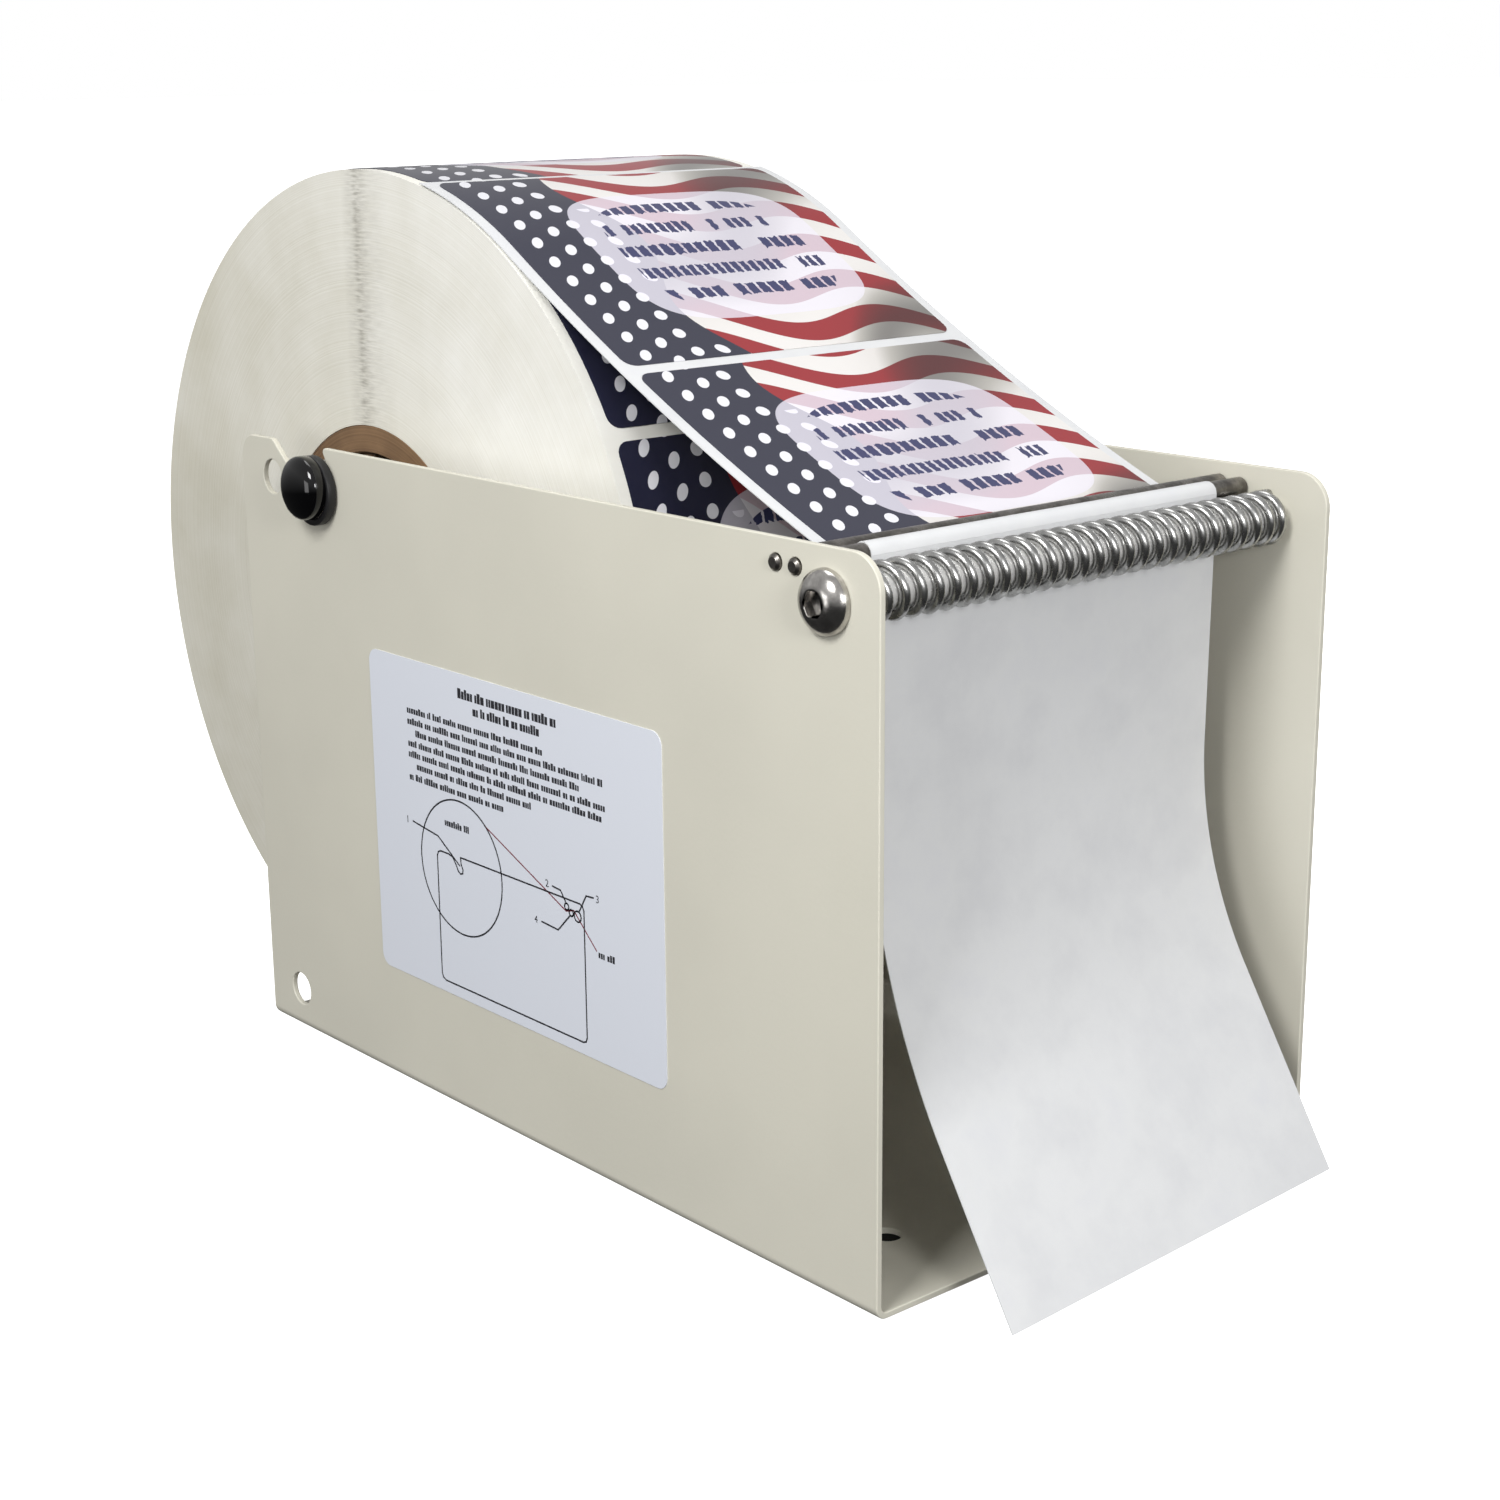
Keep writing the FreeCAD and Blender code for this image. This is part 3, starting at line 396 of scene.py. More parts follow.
def linear(code):
    """The linear colour of an sRGB hex code."""
    parts = [int(code[place:place + 2], 16) / 255 for place in (1, 3, 5)]
    return (*[part / 12.92 if part <= 0.04045 else ((part + 0.055) / 1.055) ** 2.4 for part in parts], 1)


def add_node(tree, kind, inputs=None, stops=None, **settings):
    """Adds a node with its settings, its input values or links, and the stops of its ramp."""
    made = tree.nodes.new(kind)
    for name, value in settings.items():
        setattr(made, name, value)
    for name, value in (inputs or {}).items():
        if isinstance(value, bpy.types.NodeSocket):
            tree.links.new(value, made.inputs[name])
        else:
            made.inputs[name].default_value = value
    if stops:
        ramp = made.color_ramp
        while len(ramp.elements) < len(stops):
            ramp.elements.new(1)
        for element, (position, colour) in zip(ramp.elements, stops):
            element.position, element.color = position, colour
    return made


def start_material(name, **sockets):
    """A material with its shader's plain values set; a socket's spaces are written as underscores."""
    material = bpy.data.materials.new(name)
    material.use_nodes = True
    shader = material.node_tree.nodes["Principled BSDF"]
    for socket, value in sockets.items():
        shader.inputs[socket.replace("_", " ")].default_value = value
    return material, material.node_tree, shader


def powder_coat(colour):
    """Cream polyester powder coat on steel: satin, with a fine orange peel and hardly any change of colour."""
    darker, lighter = 0.965, 1.02
    material, tree, shader = start_material(
        "powder_coat_cream", Roughness=0.42, Coat_Weight=0.15, Coat_Roughness=0.3)
    place = add_node(tree, "ShaderNodeTexCoord").outputs["Object"]
    # clouds about 55 mm across, and an orange peel of about 1 mm
    cloud = add_node(tree, "ShaderNodeTexNoise", {"Vector": place, "Scale": 18.0, "Detail": 3.0})
    low = (*[part * darker for part in colour], 1)
    high = (*[min(part * lighter, 1) for part in colour], 1)
    tint = add_node(
        tree, "ShaderNodeValToRGB", {"Fac": cloud.outputs["Fac"]}, stops=[(0.35, low), (0.65, high)])
    tree.links.new(tint.outputs["Color"], shader.inputs["Base Color"])
    peel = add_node(tree, "ShaderNodeTexNoise", {"Vector": place, "Scale": 900.0, "Detail": 2.0})
    bump = add_node(
        tree, "ShaderNodeBump", {"Height": peel.outputs["Fac"], "Strength": 0.12, "Distance": 0.2 * MM})
    tree.links.new(bump.outputs["Normal"], shader.inputs["Normal"])
    return material


def printed_label(sizes):
    """Varnished label paper: wavy red and white bands, a dotted navy side and a pale panel with ragged marks."""
    material, tree, shader = start_material(
        "varnished_label_print", Roughness=0.32, Coat_Weight=0.2, Coat_Roughness=0.15)
    flat = add_node(tree, "ShaderNodeUVMap").outputs["UV"]
    width, length = sizes.label_width, sizes.label_length
    sway_height, band_pitch, slant = 11 * MM, 15 * MM, math.radians(-13)
    side_width, edge_depth = 38 * MM, 9 * MM
    dot_pitch, dot_share, dot_room = 7.4 * MM, 0.24, 2.8 * MM
    panel_middle, panel_reach, marks_reach = (0.56, 0.5), (0.35, 0.33), 0.42
    mark_width, row_height, blank_share = 1.5 * MM, 8.8 * MM, 0.17

    # the whole design sways with one slow wave across the label, as ink on silk would
    sway = add_node(
        tree, "ShaderNodeTexWave",
        {"Vector": flat, "Scale": band_scale(62 * MM), "Distortion": 1.2, "Detail": 0.0, "Phase Offset": 0.8},
        wave_type="BANDS", bands_direction="X")
    swayed = add_node(
        tree, "ShaderNodeVectorMath", {0: sway.outputs["Fac"], 1: (0, sway_height, 0), 2: flat},
        operation="MULTIPLY_ADD")
    slanted = add_node(
        tree, "ShaderNodeMapping", {"Vector": swayed.outputs["Vector"], "Rotation": (0, 0, slant)})

    # red and silk-white bands 7.5 mm wide
    bands = add_node(
        tree, "ShaderNodeTexWave", {"Vector": slanted.outputs["Vector"], "Scale": band_scale(band_pitch)},
        wave_type="BANDS", bands_direction="Y")
    band_colours = add_node(
        tree, "ShaderNodeValToRGB", {"Fac": bands.outputs["Fac"]},
        stops=[(0.49, linear("#96141F")), (0.51, linear("#E6E3E0"))])

    # folds: broad soft light and dark across the bands
    folds = add_node(
        tree, "ShaderNodeTexWave",
        {"Vector": slanted.outputs["Vector"], "Scale": band_scale(44 * MM), "Distortion": 2.5, "Detail": 1.0,
         "Detail Scale": 1.4},
        wave_type="BANDS", bands_direction="DIAGONAL")
    shade = add_node(
        tree, "ShaderNodeValToRGB", {"Fac": folds.outputs["Fac"]},
        stops=[(0.0, linear("#5E5C58")), (0.3, linear("#B9B8B2")), (0.55, linear("#F4F3F2")),
               (1.0, linear("#FFFFFF"))])
    silk = add_node(
        tree, "ShaderNodeMix", {0: 0.85, 6: band_colours.outputs["Color"], 7: shade.outputs["Color"]},
        data_type="RGBA", blend_type="MULTIPLY")

    # navy side with a wavy edge and rows of white dots
    edge = add_node(
        tree, "ShaderNodeTexWave", {"Vector": flat, "Scale": band_scale(54 * MM), "Phase Offset": 2.2},
        wave_type="BANDS", bands_direction="Y")
    pushed = add_node(
        tree, "ShaderNodeVectorMath", {0: edge.outputs["Fac"], 1: (edge_depth, 0, 0), 2: flat},
        operation="MULTIPLY_ADD")
    across = add_node(tree, "ShaderNodeSeparateXYZ", {0: pushed.outputs["Vector"]})
    at_side = add_node(
        tree, "ShaderNodeMath", {0: across.outputs["X"], 1: side_width}, operation="LESS_THAN")
    dots = add_node(
        tree, "ShaderNodeTexVoronoi",
        {"Vector": swayed.outputs["Vector"], "Scale": 1 / dot_pitch, "Randomness": 0.0}, voronoi_dimensions="2D")
    in_dot = add_node(
        tree, "ShaderNodeMath", {0: dots.outputs["Distance"], 1: dot_share}, operation="LESS_THAN")
    # only dots whose middles stand clear of both edges are drawn
    dot_middle = add_node(tree, "ShaderNodeSeparateXYZ", {0: dots.outputs["Position"]})
    past_start = add_node(
        tree, "ShaderNodeMath", {0: dot_middle.outputs["X"], 1: dot_room}, operation="GREATER_THAN")
    wave_depth = add_node(tree, "ShaderNodeMath", {0: edge.outputs["Fac"], 1: edge_depth}, operation="MULTIPLY")
    to_edge = add_node(
        tree, "ShaderNodeMath", {0: dot_middle.outputs["X"], 1: wave_depth.outputs["Value"]}, operation="ADD")
    short_of_edge = add_node(
        tree, "ShaderNodeMath", {0: to_edge.outputs["Value"], 1: side_width - dot_room}, operation="LESS_THAN")
    clear = add_node(
        tree, "ShaderNodeMath", {0: past_start.outputs["Value"], 1: short_of_edge.outputs["Value"]},
        operation="MULTIPLY")
    dot = add_node(
        tree, "ShaderNodeMath", {0: in_dot.outputs["Value"], 1: clear.outputs["Value"]}, operation="MULTIPLY")
    navy = add_node(
        tree, "ShaderNodeMix",
        {0: dot.outputs["Value"], 6: linear("#1F2036"), 7: linear("#E4E4EA")}, data_type="RGBA")
    dyed = add_node(
        tree, "ShaderNodeMix",
        {0: at_side.outputs["Value"], 6: silk.outputs[2], 7: navy.outputs[2]}, data_type="RGBA")

    # pale panel: a rounded oblong
    from_middle = add_node(
        tree, "ShaderNodeVectorMath", {0: flat, 1: (width * panel_middle[0], length * panel_middle[1], 0)},
        operation="SUBTRACT")
    shares = add_node(
        tree, "ShaderNodeVectorMath",
        {0: from_middle.outputs["Vector"], 1: (1 / (width * panel_reach[0]), 1 / (length * panel_reach[1]), 0)},
        operation="MULTIPLY")
    squared = add_node(
        tree, "ShaderNodeVectorMath", {0: shares.outputs["Vector"], 1: shares.outputs["Vector"]},
        operation="MULTIPLY")
    reach = add_node(
        tree, "ShaderNodeVectorMath", {0: squared.outputs["Vector"], 1: squared.outputs["Vector"]},
        operation="DOT_PRODUCT")
    panel = add_node(tree, "ShaderNodeMath", {0: reach.outputs["Value"], 1: 1.0}, operation="LESS_THAN")
    well_inside = add_node(
        tree, "ShaderNodeMath", {0: reach.outputs["Value"], 1: marks_reach}, operation="LESS_THAN")
    tinted = add_node(
        tree, "ShaderNodeMix",
        {0: 0.64, 6: dyed.outputs[2], 7: linear("#E9E5F2")}, data_type="RGBA")
    with_panel = add_node(
        tree, "ShaderNodeMix",
        {0: panel.outputs["Value"], 6: dyed.outputs[2], 7: tinted.outputs[2]}, data_type="RGBA")
    # rows of ragged marks 3.8 mm tall, as close as print, with blanks among them
    ragged = add_node(tree, "ShaderNodeTexNoise", {"Vector": flat, "Scale": 1 / (1.3 * MM), "Detail": 1.0})
    frayed = add_node(
        tree, "ShaderNodeVectorMath", {0: ragged.outputs["Color"], 1: (1.1 * MM, 1.9 * MM, 0), 2: flat},
        operation="MULTIPLY_ADD")
    flattened = add_node(
        tree, "ShaderNodeMapping",
        {"Vector": frayed.outputs["Vector"], "Scale": (1 / mark_width, 1 / row_height, 1)})
    bars = add_node(
        tree, "ShaderNodeTexBrick",
        {"Vector": flattened.outputs["Vector"], "Scale": 1.0, "Mortar Size": 0.26, "Mortar Smooth": 0.0,
         "Brick Width": 1.8, "Row Height": 1.0, "Color1": (0, 0, 0, 1), "Color2": (1, 1, 1, 1)},
        offset=0.37, offset_frequency=2, squash=1.3, squash_frequency=2)
    in_row = add_node(tree, "ShaderNodeMath", {0: bars.outputs["Fac"], 1: 0.5}, operation="LESS_THAN")
    not_blank = add_node(
        tree, "ShaderNodeMath", {0: bars.outputs["Color"], 1: blank_share}, operation="GREATER_THAN")
    in_bar = add_node(
        tree, "ShaderNodeMath", {0: in_row.outputs["Value"], 1: not_blank.outputs["Value"]},
        operation="MULTIPLY")
    barred = add_node(
        tree, "ShaderNodeMath", {0: in_bar.outputs["Value"], 1: well_inside.outputs["Value"]},
        operation="MULTIPLY")
    inked = add_node(
        tree, "ShaderNodeMix",
        {0: barred.outputs["Value"], 6: with_panel.outputs[2], 7: linear("#2C2F5E")}, data_type="RGBA")
    tree.links.new(inked.outputs[2], shader.inputs["Base Color"])
    return material


def glassine_liner():
    """Supercalendered glassine: bluish white, faintly cloudy, with a soft sheen."""
    material, tree, shader = start_material("glassine_liner", Roughness=0.48, Specular_IOR_Level=0.4)
    place = add_node(tree, "ShaderNodeTexCoord").outputs["Object"]
    # the paper's clouds are about 18 mm across
    cloud = add_node(
        tree, "ShaderNodeTexNoise", {"Vector": place, "Scale": 55.0, "Detail": 5.0, "Roughness": 0.6})
    tint = add_node(
        tree, "ShaderNodeValToRGB", {"Fac": cloud.outputs["Fac"]},
        stops=[(0.3, linear("#D3D4D6")), (0.55, linear("#DADBDC")), (0.75, linear("#D6D7DA"))])
    tree.links.new(tint.outputs["Color"], shader.inputs["Base Color"])
    # it cockles a little: dents about 17 mm across
    cockle = add_node(tree, "ShaderNodeTexNoise", {"Vector": place, "Scale": 60.0, "Detail": 2.0})
    bump = add_node(
        tree, "ShaderNodeBump", {"Height": cockle.outputs["Fac"], "Strength": 0.25, "Distance": 1.2 * MM})
    tree.links.new(bump.outputs["Normal"], shader.inputs["Normal"])
    return material


def wound_edge(name, centre, dark, light, layer, shade_spoke=None, **sockets):
    """Cut edges of wound paper or board: fine rings, one a layer, and soft clouds, with painted light and shade,
    lighter towards the front and darker towards the rear; the spoke colour paints a dark spoke of painted shade.
    """
    material, tree, shader = start_material(name, **sockets)
    place = add_node(tree, "ShaderNodeTexCoord").outputs["Object"]
    centred = add_node(
        tree, "ShaderNodeMapping",
        {"Vector": place, "Location": (0, -centre[0], -centre[1]), "Scale": (0, 1, 1)}).outputs["Vector"]
    radius = add_node(tree, "ShaderNodeVectorMath", {0: centred}, operation="LENGTH")
    rings = add_node(
        tree, "ShaderNodeTexNoise",
        {"W": radius.outputs["Value"], "Scale": 1 / layer, "Detail": 3.0, "Roughness": 0.7}, noise_dimensions="1D")
    clouds = add_node(
        tree, "ShaderNodeTexNoise",
        {"Vector": centred, "Scale": 1 / (30 * MM), "Detail": 4.0, "Roughness": 0.55})
    cloud_share = 0.6
    both = add_node(
        tree, "ShaderNodeMix", {0: cloud_share, 2: rings.outputs["Fac"], 3: clouds.outputs["Fac"]},
        data_type="FLOAT")
    # painted light and shade: the front half lighter, the rear half darker
    parts = add_node(tree, "ShaderNodeSeparateXYZ", {0: centred})
    painted_rear_shade = add_node(
        tree, "ShaderNodeMapRange",
        {"Value": parts.outputs["Y"], "From Min": -70 * MM, "From Max": 90 * MM, "To Min": 0.2, "To Max": -0.2})
    tone_and_painted_shade = add_node(
        tree, "ShaderNodeMath", {0: both.outputs[0], 1: painted_rear_shade.outputs["Result"]}, operation="ADD")
    tint = add_node(
        tree, "ShaderNodeValToRGB", {"Fac": tone_and_painted_shade.outputs["Value"]},
        stops=[(0.15, linear(dark)), (0.8, linear(light))])
    colour = tint.outputs["Color"]
    # painted shade: a dark spoke straight up, laid over the edge's colour
    if shade_spoke:
        colour = paint_shade_spoke(tree, centred, colour, shade_spoke)
    tree.links.new(colour, shader.inputs["Base Color"])
    bump = add_node(
        tree, "ShaderNodeBump", {"Height": rings.outputs["Fac"], "Strength": 0.25, "Distance": layer * 0.3})
    tree.links.new(bump.outputs["Normal"], shader.inputs["Normal"])
    return material


def paint_shade_spoke(tree, centred, colour, shade_spoke):
    """Painted shade on the wound edge: a soft dark spoke straight up above the core, broken into short dashes."""
    parts = add_node(tree, "ShaderNodeSeparateXYZ", {0: centred})
    aside = add_node(
        tree, "ShaderNodeMapRange", {"Value": parts.outputs["Y"], "From Min": -13 * MM, "From Max": 9 * MM})
    within = add_node(
        tree, "ShaderNodeValToRGB", {"Fac": aside.outputs["Result"]},
        stops=[(0.0, (0, 0, 0, 1)), (0.45, (0.3, 0.3, 0.3, 1)), (0.7, (1, 1, 1, 1)), (0.78, (0.5, 0.5, 0.5, 1)),
               (1.0, (0, 0, 0, 1))])
    above = add_node(
        tree, "ShaderNodeMapRange", {"Value": parts.outputs["Z"], "From Min": 20 * MM, "From Max": 45 * MM})
    drawn_out = add_node(
        tree, "ShaderNodeMapping", {"Vector": centred, "Scale": (1, 1 / (4.5 * MM), 1 / (0.6 * MM))})
    dashes = add_node(
        tree, "ShaderNodeTexNoise", {"Vector": drawn_out.outputs["Vector"], "Scale": 1.0, "Detail": 3.0})
    depth = add_node(
        tree, "ShaderNodeMapRange",
        {"Value": dashes.outputs["Fac"], "From Min": 0.38, "From Max": 0.66, "To Min": 0.2, "To Max": 0.85})
    strip = add_node(
        tree, "ShaderNodeMath", {0: within.outputs["Color"], 1: above.outputs["Result"]}, operation="MULTIPLY")
    share = add_node(
        tree, "ShaderNodeMath", {0: strip.outputs["Value"], 1: depth.outputs["Result"]}, operation="MULTIPLY")
    spoke_shaded = add_node(
        tree, "ShaderNodeMix", {0: share.outputs["Value"], 6: colour, 7: linear(shade_spoke)}, data_type="RGBA")
    return spoke_shaded.outputs[2]


def drawn_steel(name, dark, light, grain, roughness, relief=0.06, bare=1.0):
    """Drawn or turned steel: grey, with blotches of oil and scale; bare is how far it is metal to the eye."""
    material, tree, shader = start_material(name, Metallic=bare, Roughness=roughness)
    place = add_node(tree, "ShaderNodeTexCoord").outputs["Object"]
    blotch = add_node(
        tree, "ShaderNodeTexNoise", {"Vector": place, "Scale": 1 / grain, "Detail": 4.0, "Roughness": 0.65})
    tint = add_node(
        tree, "ShaderNodeValToRGB", {"Fac": blotch.outputs["Fac"]},
        stops=[(0.38, linear(dark)), (0.62, linear(light))])
    tree.links.new(tint.outputs["Color"], shader.inputs["Base Color"])
    rougher, smoother = 1.3, 0.7
    rough = add_node(
        tree, "ShaderNodeMapRange",
        {"Value": blotch.outputs["Fac"], "From Min": 0.3, "From Max": 0.7, "To Min": roughness * rougher,
         "To Max": roughness * smoother})
    tree.links.new(rough.outputs["Result"], shader.inputs["Roughness"])
    bump = add_node(
        tree, "ShaderNodeBump", {"Height": blotch.outputs["Fac"], "Strength": 0.2, "Distance": grain * relief})
    tree.links.new(bump.outputs["Normal"], shader.inputs["Normal"])
    return material


def plain_plastic(name, colour, roughness, grain, depth):
    """Moulded or cut plastic: one colour, with the fine grain of its surface."""
    material, tree, shader = start_material(name, Base_Color=linear(colour), Roughness=roughness)
    place = add_node(tree, "ShaderNodeTexCoord").outputs["Object"]
    skin = add_node(tree, "ShaderNodeTexNoise", {"Vector": place, "Scale": 1 / grain, "Detail": 2.0})
    bump = add_node(tree, "ShaderNodeBump", {"Height": skin.outputs["Fac"], "Strength": 0.15, "Distance": depth})
    tree.links.new(bump.outputs["Normal"], shader.inputs["Normal"])
    return material


def band_scale(period):
    """The Wave node's scale for bands that repeat at a distance in metres."""
    return math.pi / 10 / period


# Operators, one a piece or group

class BuildHousing(bpy.types.Operator):
    """Rounds the edges of the bent housing and powder-coats it"""

    bl_idname = "dispenser.housing"
    bl_label = "Bent housing"

    def execute(self, context):
        sizes = context.scene.dispenser_housing
        begin_piece()
        shell = bpy.data.objects.new("bent_housing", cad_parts["housing"].data.copy())
        context.scene.collection.objects.link(shell)
        context.view_layer.objects.active = shell
        shell.select_set(True)
        edit_all()
        bpy.ops.mesh.remove_doubles(threshold=MERGE)
        bpy.ops.mesh.dissolve_limited(angle_limit=math.radians(0.5))
        bpy.ops.object.mode_set(mode="OBJECT")
        add_modifier(
            "BEVEL", width=sizes.edge_rounding, segments=3, limit_method="ANGLE",
            angle_limit=math.radians(40), use_clamp_overlap=False)
        finish_piece("bent_housing", powder_coat(sizes.coat_colour), "housing", "enamel_cream", "housing")
        add_modifier("WEIGHTED_NORMAL", keep_sharp=True)
        return {"FINISHED"}


class BuildSticker(bpy.types.Operator):
    """Lays the sticker on the left plate and prints a plain threading sketch on it"""

    bl_idname = "dispenser.sticker"
    bl_label = "Sticker"

    def execute(self, context):
        low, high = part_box("instruction_label")
        corner = 3.2 * MM
        begin_piece()
        bpy.ops.mesh.primitive_cube_add(size=1, location=(low + high) / 2, scale=high - low)
        bpy.ops.object.transform_apply(location=True, rotation=True, scale=True)
        bpy.ops.object.mode_set(mode="EDIT")
        bpy.ops.mesh.select_mode(type="EDGE")
        bpy.ops.mesh.select_all(action="DESELECT")
        bpy.ops.object.mode_set(mode="OBJECT")
        sheet = context.active_object
        for edge in sheet.data.edges:
            first, second = (sheet.data.vertices[index].co for index in edge.vertices)
            edge.select = abs(first.x - second.x) > MERGE
        bpy.ops.object.mode_set(mode="EDIT")
        bpy.ops.mesh.bevel(offset=corner, segments=8)
        bpy.ops.object.mode_set(mode="OBJECT")
        film = plain_plastic("satin_vinyl_film", "#DFE3EC", roughness=0.35, grain=1.5 * MM, depth=0.03 * MM)
        finish_piece("sticker_sheet", film, "housing", "sticker_film", "instruction_label")
        self.print_sketch(context, low, high)
        return {"FINISHED"}

    def print_sketch(self, context, low, high):
        """Rows of small blocks where a sheet of instructions has words, and a side view of the threading."""
        thickness = context.scene.dispenser_housing.print_thickness
        face = low.x - thickness / 2
        line_width, web_width, digit_height = 0.42, 0.34, 2.6
        letter_gap, word_gap = 0.22, 0.75

        def spot(across, down):
            """A place on the sticker, in millimetres from its upper left corner as it is read."""
            return face, high.y - across * MM, high.z - down * MM

        def block(across, down, width, height, turn=0.0):
            """One block of ink; after the first, the rest go into the same mesh, which stays open in edit mode."""
            bpy.ops.mesh.primitive_cube_add(
                size=1, location=spot(across + width / 2, down), rotation=(turn, 0, 0),
                scale=(thickness, width * MM, height * MM))
            if bpy.context.mode == "OBJECT":
                bpy.ops.object.mode_set(mode="EDIT")

        def line(points, weight):
            """A line of blocks, each a little longer than its stretch, so that the corners close."""
            for start, finish in zip(points, points[1:]):
                across, down = finish[0] - start[0], finish[1] - start[1]
                length = math.hypot(across, down) + weight * 0.6
                block((start[0] + finish[0]) / 2 - length / 2, (start[1] + finish[1]) / 2, length, weight,
                      turn=math.atan2(down, across))

        def digit(sign, across, down):
            """One number, as a mesh."""
            begin_piece()
            bpy.ops.object.text_add(location=spot(across, down), rotation=(math.pi / 2, 0, -math.pi / 2))
            text = context.active_object
            text.data.body, text.data.size, text.data.extrude = sign, digit_height * MM, thickness / 2
            bpy.ops.object.convert(target="MESH")

        begin_piece()
        draw = random.Random(11)

        def words(start, finish, down, height):
            """Words of blocks that stand as close and as uneven as small print."""
            across = start
            while across < finish - 1:
                for _ in range(draw.randint(2, 8)):
                    width = draw.uniform(0.5, 0.95) * height / 1.3
                    tall = height * draw.choice((1, 1, 1, 1.3))
                    block(across, down - (tall - height) / 2, width, tall)
                    across += width + letter_gap
                    if across > finish:
                        break
                across += word_gap

        for row in STICKER_WORDS:
            words(*row)
        for (across, down), radius, steps in STICKER_RINGS:
            turns = [2 * math.pi * step / steps for step in range(steps + 1)]
            line([(across + radius * math.cos(turn), down + radius * math.sin(turn)) for turn in turns], line_width)
        for points in STICKER_LINES:
            line(points, line_width)
        black = plain_plastic("screen_ink_black", "#26262C", roughness=0.5, grain=0.5 * MM, depth=0.01 * MM)
        bpy.ops.object.mode_set(mode="OBJECT")
        finish_piece("sticker_drawing", black, "housing", "sticker_film")
        for sign, across, down in STICKER_NUMBERS:
            digit(sign, across, down)
            finish_piece(f"sticker_number_{sign}", black, "housing", "sticker_film")
        begin_piece()
        line(STICKER_WEB, web_width)
        bpy.ops.object.mode_set(mode="OBJECT")
        red = plain_plastic("screen_ink_red", "#7A3440", roughness=0.5, grain=0.5 * MM, depth=0.01 * MM)
        finish_piece("sticker_web_line", red, "housing", "sticker_film")


class BuildCoreShaft(bpy.types.Operator):
    """Turns the core shaft with its collars and domed caps"""

    bl_idname = "dispenser.core_shaft"
    bl_label = "Core shaft"

    def execute(self, context):
        axis = axis_of("core_support_shaft")
        size = size_of("core_support_shaft")
        half, radius, chamfer = size.x / 2, size.z / 2, 0.6 * MM
        turn_rings([(-half, radius - chamfer), (chamfer - half, radius), (half - chamfer, radius),
                    (half, radius - chamfer)], axis, 64)
        steel = drawn_steel("ground_steel_bar", "#8C8B88", "#B4B2AE", grain=6 * MM, roughness=0.25)
        finish_piece("steel_shaft", steel, "core_shaft", "shaft_steel", "core_support_shaft")
        nylon = plain_plastic("matt_black_nylon", "#131315", roughness=0.5, grain=0.6 * MM, depth=0.05 * MM)
        gloss = plain_plastic("gloss_black_plastic", "#030304", roughness=0.07, grain=8 * MM, depth=0.02 * MM)
        for side, way in SIDES:
            self.add_collar(side, way, axis, radius, nylon)
            self.add_cap(side, way, axis, radius, gloss)
        return {"FINISHED"}

    def add_collar(self, side, way, axis, shaft, material):
        """The nylon ring is loose on the shaft, so it hangs a little low, and all but touches it at the top."""
        node = f"{side}_shaft_collar"
        width, middle = size_of(node).x, middle_of(node).x
        droop, rim, edge, touch = 0.95 * MM, 8.75 * MM, 0.4 * MM, 0.01 * MM
        bore = shaft + droop
        near, far = middle - way * width / 2, middle + way * width / 2
        turn_rings([
            (near, bore), (near, rim - edge), (near + way * edge * 0.3, rim - edge * 0.3),
            (near + way * edge, rim), (far - way * edge, rim), (far - way * edge * 0.3, rim - edge * 0.3),
            (far, rim - edge), (far, bore)], (axis[0], axis[1] - droop + touch), 72, tube=True)
        finish_piece(f"black_collar_{side}", material, "core_shaft", "collar_black", node)

    def add_cap(self, side, way, axis, shaft, material):
        """The cap is pushed on the shaft's end: a bore, a straight skirt and a dome."""
        node = f"{side}_shaft_cap"
        size, middle = size_of(node), middle_of(node).x
        rim, foot, tip = size.z / 2, middle - way * size.x / 2, middle + way * size.x / 2
        skirt, bore, depth, edge = 2.3 * MM, shaft + 0.05 * MM, 3.0 * MM, 0.3 * MM
        dome, steps, flatness, middle_share = size.x - skirt, 12, 0.9, 0.02
        rings = [(foot + way * depth, bore * middle_share), (foot + way * depth, bore), (foot, bore),
                 (foot, rim - edge), (foot + way * edge, rim), (foot + way * skirt, rim)]
        for step in range(1, steps):
            lean = math.pi / 2 * step / steps
            rings.append((foot + way * (skirt + dome * math.sin(lean)), rim * math.cos(lean) ** flatness))
        rings.append((tip, rim * middle_share))
        turn_rings(rings, axis, 72)
        finish_piece(f"dome_cap_{side}", material, "core_shaft", "cap_black", node, smooth_below=50)


